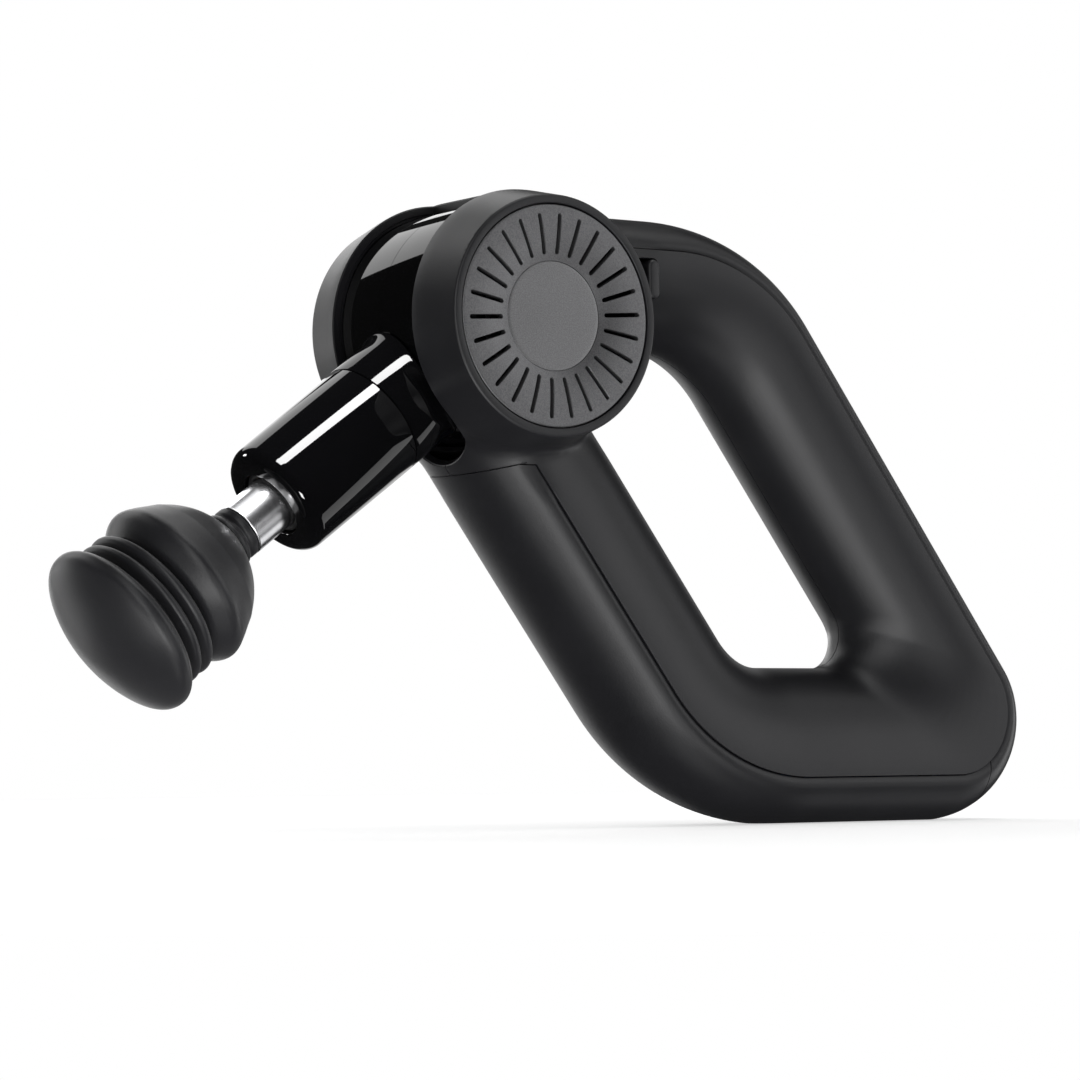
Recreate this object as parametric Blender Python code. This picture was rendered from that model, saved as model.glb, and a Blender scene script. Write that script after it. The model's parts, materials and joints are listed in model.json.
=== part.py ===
"""Loop-handled massage gun: a hub with a tilting arm, a reciprocating socket and a bellows head.

Sizes are in millimetres and are scaled to metres when a mesh is made. Shapes are laid out around
the hub centre: X runs from head to handle, Y along the hub axis, Z up. The world origin is the
middle of the flat strip under the base of the handle.
"""
import math

import bmesh
import bpy
from mathutils import Matrix, Vector

MM = 0.001
GAP = 0.3

# Hub centre above and ahead of the middle of the base strip
HUB_X = -130.6
HUB_Z = 144.8

# The arm drops this far below the horizontal, and the two bars lean by the same angle
DROP = math.radians(36.7)
TILT_RANGE = 90.0
TILT_STEPS = 7

# Handle: distances of the outline lines from the hub centre, as front, base, back, top, hub chord
OUTER_LINES = (34.9, 145.2, 90.2, 34.2, 15.0)
SEAM_LINES = (22.4, 130.8, 79.9, 22.9, 10.2)
LOOP_LINES = (-10.5, 98.0, 54.9, -3.5, -21.2)
# Corner radii: front-base, base-back, back-top, then the two corners inside the hub
OUTER_RADII = (77.0, 30.0, 68.0, 1.0, 1.0)
SEAM_RADII = (63.0, 19.0, 57.0, 1.0, 1.0)
LOOP_RADII = (24.0, 10.5, 43.0, 1.0, 1.0)
CORNER_STEPS = (6, 7, 5, 1, 1)
HALF_THICK = 24.0
WALL = 2.4
INNER_ROUND = 0.74
OUTER_STEPS = 4
INNER_STEPS = 3

# Seam across the top of the front grip, and the joint between the two bands
FRONT_SEAM_X = -16.0
FRONT_SEAM_Z = -44.4
FRONT_SEAM_SLOPE = 0.249
BAND_SPLIT_X = 171.5

# Hub barrel
BARREL_R = 38.0
HUB_ZONE_R = BARREL_R + 3.0
BARREL_IN = 35.4
GROOVE_HALF = 20.7
GROOVE_LOW = 6.0
GROOVE_HIGH = 121.2
WEB_Y = 21.0
WEB_THICK = 2.2
RIM_R = 34.2
RIM_IN = 31.9
RIM_Y = 37.8
SEAT_Y = 35.0
SEAT_IN = 30.0
BEARING_R = 12.0
HUB_SEGMENTS = 32

# Vented cap and its centre disc
CAP_R = 31.5
CAP_DISH = 0.8
CAP_THICK = 2.4
DISC_DEPTH = 1.2
DISC_R = 15.5
SLOT_COUNT = 26
SLOT_IN = 18.1
SLOT_OUT = 28.5
SLOT_WIDTH = 1.0
SLOT_PHASE = 3.5

# Drum that carries the arm
DRUM_R = 34.8
DRUM_WALL = 2.2
DRUM_Y = 20.4
TRUNNION_R = 9.4
TRUNNION_IN = 7.0
TRUNNION_Y = 29.0

# Arm, as distances from the hub centre along the arm axis
ARM_R = 17.6
ARM_NOSE_R = 17.2
NECK_END = 47.5
SLEEVE_START = 47.8
SLEEVE_END = 89.3
SLEEVE_WALL = 2.4
MOUTH_R = 9.9
SOCKET_R = 7.9
SOCKET_START = 38.0
SOCKET_END = 101.5
STEM_R = 5.3
BORE_R = 5.6
ARM_SEGMENTS = 20
HEAD_SEGMENTS = 24

# Drive
STROKE = 12.0
CRANK_R = STROKE / 2
ROLLER_R = 4.2
SLOT_SLACK = 1.5
CRANK_DISC_R = 13.0

# Battery
CELL_R = 9.2
CELL_LENGTH = 65.0
CELL_SPREAD = 9.6

# Control panel on the back bar, by distance down the bar
PANEL_DOWN = 100.0
PANEL_LENGTH = 64.0
PANEL_WIDTH = 17.0
BUTTON_TRAVEL = 0.8
FOOT_LOW = -7.2
SWITCH_TOP = FOOT_LOW - BUTTON_TRAVEL - 0.4
PORT_DOWN = 166.0

# Lock slider on the right side panel
LOCK_X = 43.9
LOCK_Z = 14.2
LOCK_TRAVEL = 3.5
LOCK_PLATE_Y = 15.0

BAR = Vector((math.sin(DROP), 0.0, -math.cos(DROP)))
OUTWARD = Vector((math.cos(DROP), 0.0, math.sin(DROP)))
HUB = Matrix.Translation(Vector((HUB_X, 0.0, HUB_Z)) * MM)


def frame(x_axis, y_axis, z_axis, origin=(0.0, 0.0, 0.0)):
    """Placement whose local axes are the three given directions, around the hub centre."""
    turn = Matrix((x_axis, y_axis, z_axis)).transposed().to_4x4()
    return HUB @ Matrix.Translation(Vector(origin) * MM) @ turn


ARM = frame((-math.sin(DROP), 0, math.cos(DROP)), (0, 1, 0), (-math.cos(DROP), 0, -math.sin(DROP)))
RIGHT = frame((1, 0, 0), (0, 0, 1), (0, -1, 0))
LEFT = frame((1, 0, 0), (0, 0, -1), (0, 1, 0))
CREST = OUTWARD * OUTER_LINES[2]
PANEL = frame(BAR, (0, 1, 0), OUTWARD, CREST + BAR * PANEL_DOWN)
PORT = frame(BAR, (0, 1, 0), OUTWARD, CREST + BAR * PORT_DOWN)


# ---------------------------------------------------------------- materials

def material(name, colour, roughness, metallic=0.0):
    made = bpy.data.materials.new(name)
    made.use_nodes = True
    shader = made.node_tree.nodes["Principled BSDF"]
    shader.inputs["Base Color"].default_value = (*colour, 1.0)
    shader.inputs["Roughness"].default_value = roughness
    shader.inputs["Metallic"].default_value = metallic
    made.diffuse_color = (*colour, 1.0)
    return made


def shell_black(name):
    return material(name, (0.045, 0.045, 0.048), 0.42)


def soft_black(name):
    return material(name, (0.035, 0.035, 0.038), 0.55)


def piano_black(name):
    return material(name, (0.004, 0.004, 0.005), 0.08)


def steel(name):
    return material(name, (0.62, 0.62, 0.64), 0.3, 1.0)


# ---------------------------------------------------------------- mesh helpers

def add_object(name, mesh_data, place, made_of, sharp=35.0):
    """Turn a bmesh in millimetres into a named object with outward faces."""
    bmesh.ops.remove_doubles(mesh_data, verts=mesh_data.verts, dist=0.0005)
    bmesh.ops.recalc_face_normals(mesh_data, faces=mesh_data.faces)
    bmesh.ops.scale(mesh_data, vec=(MM, MM, MM), verts=mesh_data.verts)
    mesh = bpy.data.meshes.new(name)
    mesh_data.to_mesh(mesh)
    mesh_data.free()
    mesh.shade_smooth()
    mesh.set_sharp_from_angle(angle=math.radians(sharp))
    thing = bpy.data.objects.new(name, mesh)
    thing.matrix_world = place
    if made_of:
        mesh.materials.append(made_of)
    bpy.context.scene.collection.objects.link(thing)
    return thing


def combine(thing, other, operation):
    """Apply an exact Boolean and remove the second object."""
    bpy.context.view_layer.update()
    step = thing.modifiers.new("combine", "BOOLEAN")
    step.object = other
    step.operation = operation
    step.solver = "EXACT"
    graph = bpy.context.evaluated_depsgraph_get()
    result = bpy.data.meshes.new_from_object(thing.evaluated_get(graph))
    thing.modifiers.remove(step)
    old = thing.data
    thing.data = result
    result.name = thing.name
    bpy.data.meshes.remove(old)
    bpy.data.objects.remove(other)
    result.shade_smooth()
    result.set_sharp_from_angle(angle=math.radians(35.0))
    return thing


def cut(thing, *cutters):
    for cutter in cutters:
        combine(thing, cutter, "DIFFERENCE")
    return thing


def fuse(thing, *others):
    for other in others:
        combine(thing, other, "UNION")
    return thing


def turned(name, profile, place, made_of=None, segments=24, sharp=35.0):
    """Spin a closed profile of (radius, height) points about the local Z axis."""
    shape = bmesh.new()
    points = [shape.verts.new((radius, 0.0, height)) for radius, height in profile]
    edges = []
    for here, there in zip(points, points[1:] + points[:1]):
        if here.co.x > 0 or there.co.x > 0:
            edges.append(shape.edges.new((here, there)))
    bmesh.ops.spin(
        shape, geom=points + edges, cent=(0, 0, 0), axis=(0, 0, 1),
        angle=math.tau, steps=segments, use_merge=True, use_duplicate=False)
    return add_object(name, shape, place, made_of, sharp)


def tube(name, inner, outer, low, high, place, made_of=None, segments=24):
    profile = [(inner, low), (outer, low), (outer, high), (inner, high)]
    return turned(name, profile, place, made_of, segments)


def rod(name, radius, low, high, place, made_of=None, segments=24, bevel=0.0):
    profile = [(0, low), (radius - bevel, low)]
    if bevel:
        profile += [(radius, low + bevel), (radius, high - bevel)]
    profile += [(radius - bevel, high), (0, high)]
    return turned(name, profile, place, made_of, segments)


def prism(name, outline, low, high, place, made_of=None):
    """Extrude a flat outline of (x, y) points along local Z."""
    shape = bmesh.new()
    corners = [shape.verts.new((x, y, low)) for x, y in outline]
    floor = shape.faces.new(corners)
    grown = bmesh.ops.extrude_face_region(shape, geom=[floor])["geom"]
    top = [item for item in grown if isinstance(item, bmesh.types.BMVert)]
    bmesh.ops.translate(shape, vec=(0, 0, high - low), verts=top)
    return add_object(name, shape, place, made_of)


def block(name, low, high, place, made_of=None):
    outline = [(low[0], low[1]), (high[0], low[1]), (high[0], high[1]), (low[0], high[1])]
    return prism(name, outline, low[2], high[2], place, made_of)


def stadium(length, width, steps=8, centre=(0.0, 0.0)):
    """Outline with two round ends, longest along x."""
    radius = width / 2
    reach = length / 2 - radius
    points = []
    for side, start in ((1, -90.0), (-1, 90.0)):
        for step in range(steps + 1):
            angle = math.radians(start + 180.0 * step / steps)
            x = centre[0] + side * reach + radius * math.cos(angle)
            points.append((x, centre[1] + radius * math.sin(angle)))
    return points


def circle(radius, steps=24, centre=(0.0, 0.0)):
    angles = [math.tau * step / steps for step in range(steps)]
    return [(centre[0] + radius * math.cos(a), centre[1] + radius * math.sin(a)) for a in angles]


def mirrored(source, name, made_of):
    """Copy a piece to the other side of the middle plane."""
    shape = bmesh.new()
    shape.from_mesh(source.data)
    bmesh.ops.transform(shape, matrix=source.matrix_world, verts=shape.verts)
    bmesh.ops.scale(shape, vec=(1, -1, 1), verts=shape.verts)
    bmesh.ops.transform(shape, matrix=HUB.inverted(), verts=shape.verts)
    bmesh.ops.scale(shape, vec=(1 / MM, 1 / MM, 1 / MM), verts=shape.verts)
    return add_object(name, shape, HUB.copy(), made_of)


# ---------------------------------------------------------------- handle loop

def rounded_corner(corner, before, after, radius, steps):
    """Points of an arc that rounds the corner between two line directions."""
    turn = before.angle(after)
    reach = radius * math.tan(turn / 2)
    start = corner - before * reach
    inward = Vector((-before.y, before.x))
    if inward.dot(after) < 0:
        inward = -inward
    centre = start + inward * radius
    spoke = start - centre
    sign = 1.0 if before.cross(after) > 0 else -1.0
    points = []
    for step in range(steps + 1):
        points.append(centre + Matrix.Rotation(sign * turn * step / steps, 2) @ spoke)
    return points


def outline(lines, radii, grow=0.0):
    """Handle outline in the (x, z) plane, grown outward by a distance."""
    cos_drop = math.cos(DROP)
    sin_drop = math.sin(DROP)
    normals = [(-cos_drop, -sin_drop), (0, -1), (cos_drop, sin_drop), (0, 1), (-0.89, 0.456)]
    normals = [Vector(normal).normalized() for normal in normals]
    shifted = [line + grow for line in lines]
    points = []
    for index in range(5):
        after = (index + 1) % 5
        first = normals[index]
        second = normals[after]
        determinant = first.cross(second)
        x = (shifted[index] * second.y - shifted[after] * first.y) / determinant
        z = (first.x * shifted[after] - second.x * shifted[index]) / determinant
        along_first = Vector((-first.y, first.x))
        along_second = Vector((-second.y, second.x))
        radius = max(radii[index] + grow, 0.5)
        points += rounded_corner(
            Vector((x, z)), along_first, along_second, radius, CORNER_STEPS[index])
    return points


def handle_section(thick):
    """Section stations as (which outline pair, share, y), going once around the section."""
    stations = []
    for step in range(-OUTER_STEPS, OUTER_STEPS + 1):
        angle = math.radians(90.0 * step / OUTER_STEPS)
        stations.append(("outer", math.cos(angle), thick * math.sin(angle)))
    for step in range(INNER_STEPS, -INNER_STEPS - 1, -1):
        along = (abs(step) / INNER_STEPS) ** 1.6
        bulge = math.sqrt(along) * (1.0 + 0.5 * along * (1.0 - along))
        stations.append(("loop", 1.0 - INNER_ROUND * along, math.copysign(thick * bulge, step)))
    return stations


def handle_solid(name, shrink=0.0):
    """The handle's closed ring, or its hollow when shrunk by the wall thickness."""
    outer = outline(OUTER_LINES, OUTER_RADII, -shrink)
    seam = outline(SEAM_LINES, SEAM_RADII)
    loop = outline(LOOP_LINES, LOOP_RADII, shrink)
    shape = bmesh.new()
    rings = []
    for pair, share, y in handle_section(HALF_THICK - shrink):
        target = outer if pair == "outer" else loop
        ring = []
        for at_seam, at_target in zip(seam, target):
            spot = at_seam.lerp(at_target, max(share, 0.0))
            ring.append(shape.verts.new((spot.x, y, spot.y)))
        rings.append(ring)
    for ring, after in zip(rings, rings[1:] + rings[:1]):
        count = len(ring)
        for index in range(count):
            following = (index + 1) % count
            shape.faces.new((ring[index], ring[following], after[following], after[index]))
    return add_object(name, shape, HUB.copy(), None)


def seam_prism(name, grow, deep=60.0):
    """A prism over the seam outline, for splitting the band from the side shells."""
    seam = outline(SEAM_LINES, SEAM_RADII, grow)
    points = [(spot.x, spot.y) for spot in seam]
    return prism(name, points, -deep, deep, RIGHT.copy())


def hub_cylinder(name, radius, low=-60.0, high=60.0):
    return rod(name, radius, low, high, LEFT.copy(), None, HUB_SEGMENTS)


def half_space(name, low_y, high_y):
    return block(name, (-400, -400, low_y), (400, 400, high_y), LEFT.copy())


# ---------------------------------------------------------------- housing

def arm_travel(name, radius, length):
    """Space in front of the hub that the arm needs: round at the low end, square at the top."""
    low = math.pi + DROP + math.radians(GROOVE_LOW)
    steps = 14
    points = [(0.0, 0.0)]
    for step in range(steps + 1):
        angle = low - math.radians(GROOVE_LOW + GROOVE_HIGH) * step / steps
        points.append((length * math.cos(angle), length * math.sin(angle)))
    swept = prism(name, points, -radius, radius, RIGHT.copy())
    lowered = HUB @ Matrix.Rotation(-math.radians(GROOVE_LOW), 4, "Y") @ HUB.inverted() @ ARM
    return fuse(swept, rod("low_end", radius - 0.02, 0.0, length, lowered, None, 32))


def barrel_half(name):
    """Right half of the hub: barrel wall, conical flank, cap seat and bearing web."""
    profile = [
        (BARREL_IN, GAP / 2), (BARREL_R, GAP / 2), (BARREL_R, GROOVE_HALF),
        (RIM_R + 0.3, RIM_Y - 0.8), (RIM_R - 0.3, RIM_Y), (RIM_IN, RIM_Y), (RIM_IN, SEAT_Y),
        (SEAT_IN, SEAT_Y), (SEAT_IN, SEAT_Y - 1.6), (RIM_IN, SEAT_Y - 3.2),
        (BARREL_IN - 1.4, WEB_Y + WEB_THICK), (BEARING_R, WEB_Y + WEB_THICK),
        (BEARING_R, WEB_Y), (BARREL_IN, WEB_Y)]
    return turned(name, profile, RIGHT.copy(), None, HUB_SEGMENTS)


def front_seam(x, shift=0.0):
    """Height of the seam across the top of the front grip."""
    return FRONT_SEAM_Z + (x - FRONT_SEAM_X) * FRONT_SEAM_SLOPE + shift


def front_block(name, grow=0.0):
    """The part of the hub ahead of and above the front grip, which the side shells keep."""
    right = 10.0 + grow
    corners = [(-300.0, front_seam(-300.0, -grow)), (right, front_seam(right, -grow)),
               (right, 90.0), (-300.0, 90.0)]
    return prism(name, corners, -90.0, 90.0, RIGHT.copy())


def front_zone(name, grow=0.0):
    """Everything that the front grip covers: the front bar and the base up to the split."""
    split = BAND_SPLIT_X + grow
    corners = [(-300.0, -300.0), (split, -300.0), (split, -110.0), (60.0, front_seam(60.0, grow)),
               (-300.0, front_seam(-300.0, grow))]
    return prism(name, corners, -90.0, 90.0, RIGHT.copy())


def base_cutter(name):
    place = Matrix.Translation(Vector((0.0, 0.0, -10.0)) * MM)
    return block(name, (-300, -100, -10), (300, 100, 10), place)


def walls(name):
    """The whole handle wall, before it is divided into pieces."""
    return cut(handle_solid(name), handle_solid("hollow", WALL))


def make_right_shell():
    shell = walls("right_shell")
    cut(shell, half_space("middle", -GAP / 2, 90.0), base_cutter("base"))
    band_zone = seam_prism("band_zone", 200.0, 70.0)
    cut(band_zone, seam_prism("inside", 0.0, 80.0), hub_cylinder("hub_zone", HUB_ZONE_R))
    cut(band_zone, front_block("front"))
    cut(shell, band_zone)
    cut(shell, hub_cylinder("clear", (BARREL_R + BARREL_IN) / 2))
    fuse(shell, barrel_half("barrel"))
    cut(shell, arm_travel("groove", GROOVE_HALF, 70.0))
    return shell


def lock_window():
    """Recess in the side panel in which the lock slider travels."""
    place = frame((1, 0, 0), (0, 0, 1), (0, -1, 0), (LOCK_X - LOCK_TRAVEL / 2, 0, LOCK_Z))
    half_wide = 2.3 + LOCK_TRAVEL / 2
    outline_points = [(x, z) for z, x in stadium(15.0, 2 * half_wide, 6)]
    return prism("window", outline_points, LOCK_PLATE_Y + 0.4, 30.0, place)


def make_shells():
    right = make_right_shell()
    left = mirrored(right, "left_shell", shell_black("left_shell"))
    right.data.materials.append(shell_black("right_shell"))
    cut(right, lock_window())
    return right, left


def make_bands():
    whole = walls("front_grip_band")
    cut(whole, seam_prism("inside", GAP, 80.0), base_cutter("base"))
    cut(whole, hub_cylinder("hub_zone", HUB_ZONE_R + GAP))
    rear = whole.copy()
    rear.data = whole.data.copy()
    rear.name = "rear_band"
    bpy.context.scene.collection.objects.link(rear)
    combine(whole, front_zone("front", -GAP / 2), "INTERSECT")
    cut(rear, front_zone("front", GAP / 2), front_block("ahead", GAP))
    whole.data.materials.append(soft_black("front_grip_band"))
    rear.data.materials.append(soft_black("rear_band"))
    opening = prism("panel", stadium(PANEL_LENGTH + 2 * GAP, PANEL_WIDTH + 2 * GAP), -9, 9, PANEL.copy())
    port = prism("port", stadium(9.6, 4.4, 6), -9, 9, PORT.copy())
    cut(rear, opening, port)
    return whole, rear


def make_vent_cap():
    face = RIM_Y - 0.3
    low = face - CAP_DISH
    profile = [
        (0, low - DISC_DEPTH), (DISC_R + GAP, low - DISC_DEPTH), (DISC_R + GAP, low),
        (20.5, face - 0.36), (25.5, face - 0.1), (CAP_R - 0.3, face),
        (CAP_R, face - 0.3), (CAP_R, SEAT_Y + 0.2), (26.0, SEAT_Y + 0.2),
        (21.0, low - CAP_THICK + 1.0), (DISC_R, low - CAP_THICK), (0, low - CAP_THICK)]
    cap = turned("right_vent_cap", profile[::-1], RIGHT.copy(), None, SLOT_COUNT)
    middle = (SLOT_IN + SLOT_OUT) / 2
    shape = stadium(SLOT_OUT - SLOT_IN + SLOT_WIDTH, SLOT_WIDTH, 1, (middle, 0.0))
    for index in range(SLOT_COUNT):
        turn = Matrix.Rotation(math.radians(SLOT_PHASE) + math.tau * index / SLOT_COUNT, 4, "Z")
        cut(cap, prism("slot", shape, 20.0, 50.0, RIGHT @ turn))
    return cap


def make_caps():
    grey = (0.13, 0.13, 0.135)
    cap = make_vent_cap()
    mirrored(cap, "left_vent_cap", material("left_vent_cap", grey, 0.38, 0.35))
    cap.data.materials.append(material("right_vent_cap", grey, 0.38, 0.35))
    high = RIM_Y - 0.3 - CAP_DISH
    low = high - DISC_DEPTH + GAP
    for name, place in (("right_cap_disc", RIGHT), ("left_cap_disc", LEFT)):
        profile = [(0, low), (DISC_R, low), (DISC_R, high - 0.3), (DISC_R - 0.3, high), (0, high)]
        turned(name, profile, place.copy(), material(name, (0.16, 0.16, 0.165), 0.34, 0.35), 36)


def make_hub_bearings():
    for name, place in (("right_hub_bearing", RIGHT), ("left_hub_bearing", LEFT)):
        tube(name, TRUNNION_R + GAP, BEARING_R - GAP, WEB_Y - 0.1, WEB_Y + WEB_THICK + 1.4,
             place.copy(), material(name, (0.75, 0.75, 0.72), 0.5), 32)


def make_detent():
    """Notched plate on the right trunnion and the leaf that rests in its notches."""
    plate = tube("index_plate", TRUNNION_R + GAP, 17.0, 25.6, 28.2, RIGHT.copy(),
                 steel("index_plate"), 32)
    for index in range(TILT_STEPS):
        angle = math.radians(90.0 + index * TILT_RANGE / (TILT_STEPS - 1))
        centre = (17.4 * math.cos(angle), 17.4 * math.sin(angle))
        cut(plate, prism("notch", circle(1.6, 8, centre), 24.0, 30.0, RIGHT.copy()))
    leaf = [(-2.6, 26.5), (-2.6, 20.0), (-0.9, 17.3), (0.9, 17.3), (2.6, 20.0), (2.6, 26.5)]
    prism("detent_leaf", leaf, WEB_Y + WEB_THICK + GAP, 27.6, RIGHT.copy(), steel("detent_leaf"))


def make_lock_slider():
    """Thumb pill on a plate behind the side panel, with the leaf that pushes it back."""
    place = frame((1, 0, 0), (0, 0, 1), (0, -1, 0), (LOCK_X, 0, LOCK_Z))
    pill = [(x, z) for z, x in stadium(11.6, 4.0, 5)]
    slider = prism("lock_slider", pill, LOCK_PLATE_Y - 0.4, HALF_THICK + 1.3, place.copy(), None)
    plate_low = (-2.6, -7.8, LOCK_PLATE_Y - 2.6)
    fuse(slider, block("plate", plate_low, (7.0, 7.8, LOCK_PLATE_Y), place.copy()))
    slider.data.materials.append(shell_black("lock_slider"))
    low = LOCK_PLATE_Y - 2.4
    high = LOCK_PLATE_Y - 0.2
    leaf = block("lock_leaf_spring", (8.0, -4.0, low), (8.6, 4.0, high), place.copy(),
                 steel("lock_leaf_spring"))
    fuse(leaf, block("foot", (8.3, -1.5, low), (13.0, 1.5, high), place.copy()))


# ---------------------------------------------------------------- battery and electronics

def cell_places():
    """Placements of the four cells: two down the front bar and two along the base."""
    front = OUTWARD * -15.4 + BAR * 46.0
    base = Vector((96.5, 0.0, -122.3))
    places = []
    for side in (-1, 1):
        lift = Vector((0.0, side * CELL_SPREAD, 0.0))
        places.append(frame(OUTWARD, (0, -1, 0), BAR, front + lift))
    for side in (-1, 1):
        lift = Vector((0.0, side * CELL_SPREAD, 0.0))
        places.append(frame((0, 1, 0), (0, 0, 1), (1, 0, 0), base + lift))
    return places


def make_battery():
    for index, place in enumerate(cell_places(), 1):
        name = "battery_cell_%d" % index
        rod(name, CELL_R, 0.0, CELL_LENGTH, place,
            material(name, (0.05, 0.16, 0.38), 0.4), 16, 0.6)
    front = OUTWARD * -15.4
    for name, down in (("upper_cell_holder", 50.0), ("middle_cell_holder", 100.0)):
        cell_holder(name, frame(OUTWARD, (0, -1, 0), BAR, front + BAR * down))
    for name, ahead in (("base_cell_holder_front", 101.0), ("base_cell_holder_rear", 151.0)):
        cell_holder(name, frame((0, 0, 1), (0, -1, 0), (1, 0, 0), (ahead, 0.0, -122.3)))


def cell_holder(name, place):
    """Plate with two round holes that holds a pair of cells side by side."""
    half_wide = 2 * CELL_SPREAD + 0.4
    outline_points = [(x, y) for y, x in stadium(2 * half_wide, 21.4, 5)]
    plate = prism(name, outline_points, 0.0, 4.0, place, material(name, (0.1, 0.1, 0.1), 0.6))
    for side in (-1, 1):
        centre = (0.0, side * CELL_SPREAD)
        hole = prism("hole", circle(CELL_R + 0.25, 16, centre), -1.0, 5.0, place.copy())
        cut(plate, hole)


def make_control_panel():
    bezel = prism("control_bezel", stadium(PANEL_LENGTH, PANEL_WIDTH), -3.2, -0.2, PANEL.copy(),
                  piano_black("control_bezel"))
    window = stadium(25.0, 11.0, 6, (-15.0, 0.0))
    cut(bezel, prism("window", window, -5.0, 2.0, PANEL.copy()))
    for name, centre, radius in buttons():
        cut(bezel, prism("hole", circle(radius + GAP, 16, (centre, 0.0)), -5.0, 2.0, PANEL.copy()))
    prism("display_window", stadium(25.0 - 2 * GAP, 11.0 - 2 * GAP, 6, (-15.0, 0.0)), -2.8, -0.5,
          PANEL.copy(), material("display_window", (0.01, 0.012, 0.016), 0.05))
    for name, centre, radius in buttons():
        place = PANEL @ Matrix.Translation(Vector((centre, 0.0, 0.0)) * MM)
        cap = rod(name, radius, -5.4, 0.5, place.copy(),
                  material(name, (0.06, 0.06, 0.065), 0.4), 16, 0.35)
        fuse(cap, rod("foot", 1.6, FOOT_LOW, -5.0, place.copy(), None, 10))


def buttons():
    """Name, place along the panel and radius of each button."""
    return (("minus_button", 3.6, 3.2), ("power_button", 13.2, 4.4), ("plus_button", 22.8, 3.2))


def make_control_board():
    green = material("control_board", (0.02, 0.12, 0.06), 0.5)
    board = block("control_board", (-29.0, -8.5, -11.4), (29.0, 8.5, -9.8), PANEL.copy(), green)
    for name, centre, radius in buttons():
        switch = block("switch", (centre - 2, -2, -10.5), (centre + 2, 2, SWITCH_TOP), PANEL.copy())
        fuse(board, switch)
    fuse(board, block("driver", (-22.0, -5.0, -10.5), (-8.0, 5.0, -8.0), PANEL.copy()))


def make_charge_port():
    port = prism("charge_port", stadium(9.0, 3.8, 6), -8.0, -0.8, PORT.copy(), steel("charge_port"))
    cut(port, prism("mouth", stadium(8.2, 3.0, 6), -7.2, 1.0, PORT.copy()))
    fuse(port, block("tongue", (-2.8, -0.4, -7.5), (2.8, 0.4, -2.2), PORT.copy()))


# ---------------------------------------------------------------- arm

def drum_half(name):
    """Right half of the drum with its trunnion and the way through for the drive."""
    rim_in = DRUM_R - DRUM_WALL
    web = DRUM_Y - DRUM_WALL
    profile = [
        (rim_in, GAP / 2), (DRUM_R, GAP / 2), (DRUM_R, DRUM_Y), (TRUNNION_R, DRUM_Y),
        (TRUNNION_R, TRUNNION_Y), (TRUNNION_IN, TRUNNION_Y), (TRUNNION_IN, web), (rim_in, web)]
    half = turned(name, profile, RIGHT.copy(), None, HUB_SEGMENTS)
    cut(half, rod("way", 12.0, 15.0, 60.0, ARM.copy(), None, ARM_SEGMENTS))
    return half


def make_drum():
    right = drum_half("right_drum_half")
    mirrored(right, "left_drum_half", piano_black("left_drum_half"))
    right.data.materials.append(piano_black("right_drum_half"))


def make_arm():
    neck = tube("arm_neck", 12.0, ARM_R, 28.0, NECK_END, ARM.copy(), piano_black("arm_neck"), ARM_SEGMENTS)
    cut(neck, hub_cylinder("drum", DRUM_R + GAP))
    inner = ARM_R - SLEEVE_WALL
    nose = []
    for step in range(5):
        angle = math.radians(90.0 * step / 4)
        nose.append((ARM_NOSE_R - 3.0 + 3.0 * math.cos(angle), SLEEVE_END - 3.0 + 3.0 * math.sin(angle)))
    profile = [(inner, SLEEVE_START), (ARM_R, SLEEVE_START)] + nose
    profile += [(MOUTH_R, SLEEVE_END), (MOUTH_R, SLEEVE_END - 3.2), (inner, SLEEVE_END - 3.2)]
    turned("arm_sleeve", profile, ARM.copy(), piano_black("arm_sleeve"), ARM_SEGMENTS)
    tube("bush_carrier", 12.2, inner - GAP, SLEEVE_START + 2.2, SLEEVE_END - 3.5, ARM.copy(),
         material("bush_carrier", (0.5, 0.5, 0.52), 0.35, 1.0), ARM_SEGMENTS)
    tube("linear_bush", SOCKET_R + GAP, 11.9, 56.0, SLEEVE_END - 3.6, ARM.copy(),
         material("linear_bush", (0.55, 0.36, 0.14), 0.35, 1.0), ARM_SEGMENTS)
    tube("wiper_seal", SOCKET_R + GAP, MOUTH_R - 0.2, SLEEVE_END - 3.2, SLEEVE_END - 1.2, ARM.copy(),
         material("wiper_seal", (0.02, 0.02, 0.02), 0.7), ARM_SEGMENTS)


def make_motor():
    """Flat motor on the left side of the drum, its shaft on the hub axis."""
    core = prism("motor_stator", stator_outline(), 10.2, 16.6, LEFT.copy(),
                 material("motor_stator", (0.35, 0.35, 0.37), 0.45, 0.8))
    cut(core, rod("bore", 4.6, 5.0, 20.0, LEFT.copy(), None, 20))
    tube("stator_winding", 10.5, 17.0, 16.9, 18.0, LEFT.copy(),
         material("stator_winding", (0.6, 0.25, 0.08), 0.35, 0.9), 32)
    tube("motor_bearing", 2.8, 4.3, 10.4, 17.8, LEFT.copy(), steel("motor_bearing"), 20)
    profile = [(2.8, 8.3), (21.5, 8.3), (21.5, 16.8), (20.3, 16.8), (20.3, 9.6), (2.8, 9.6)]
    turned("rotor_can", profile, LEFT.copy(), material("rotor_can", (0.3, 0.3, 0.32), 0.35, 1.0), 32)
    rod("motor_shaft", 2.5, 4.0, 18.2, LEFT.copy(), steel("motor_shaft"), 16)


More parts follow.
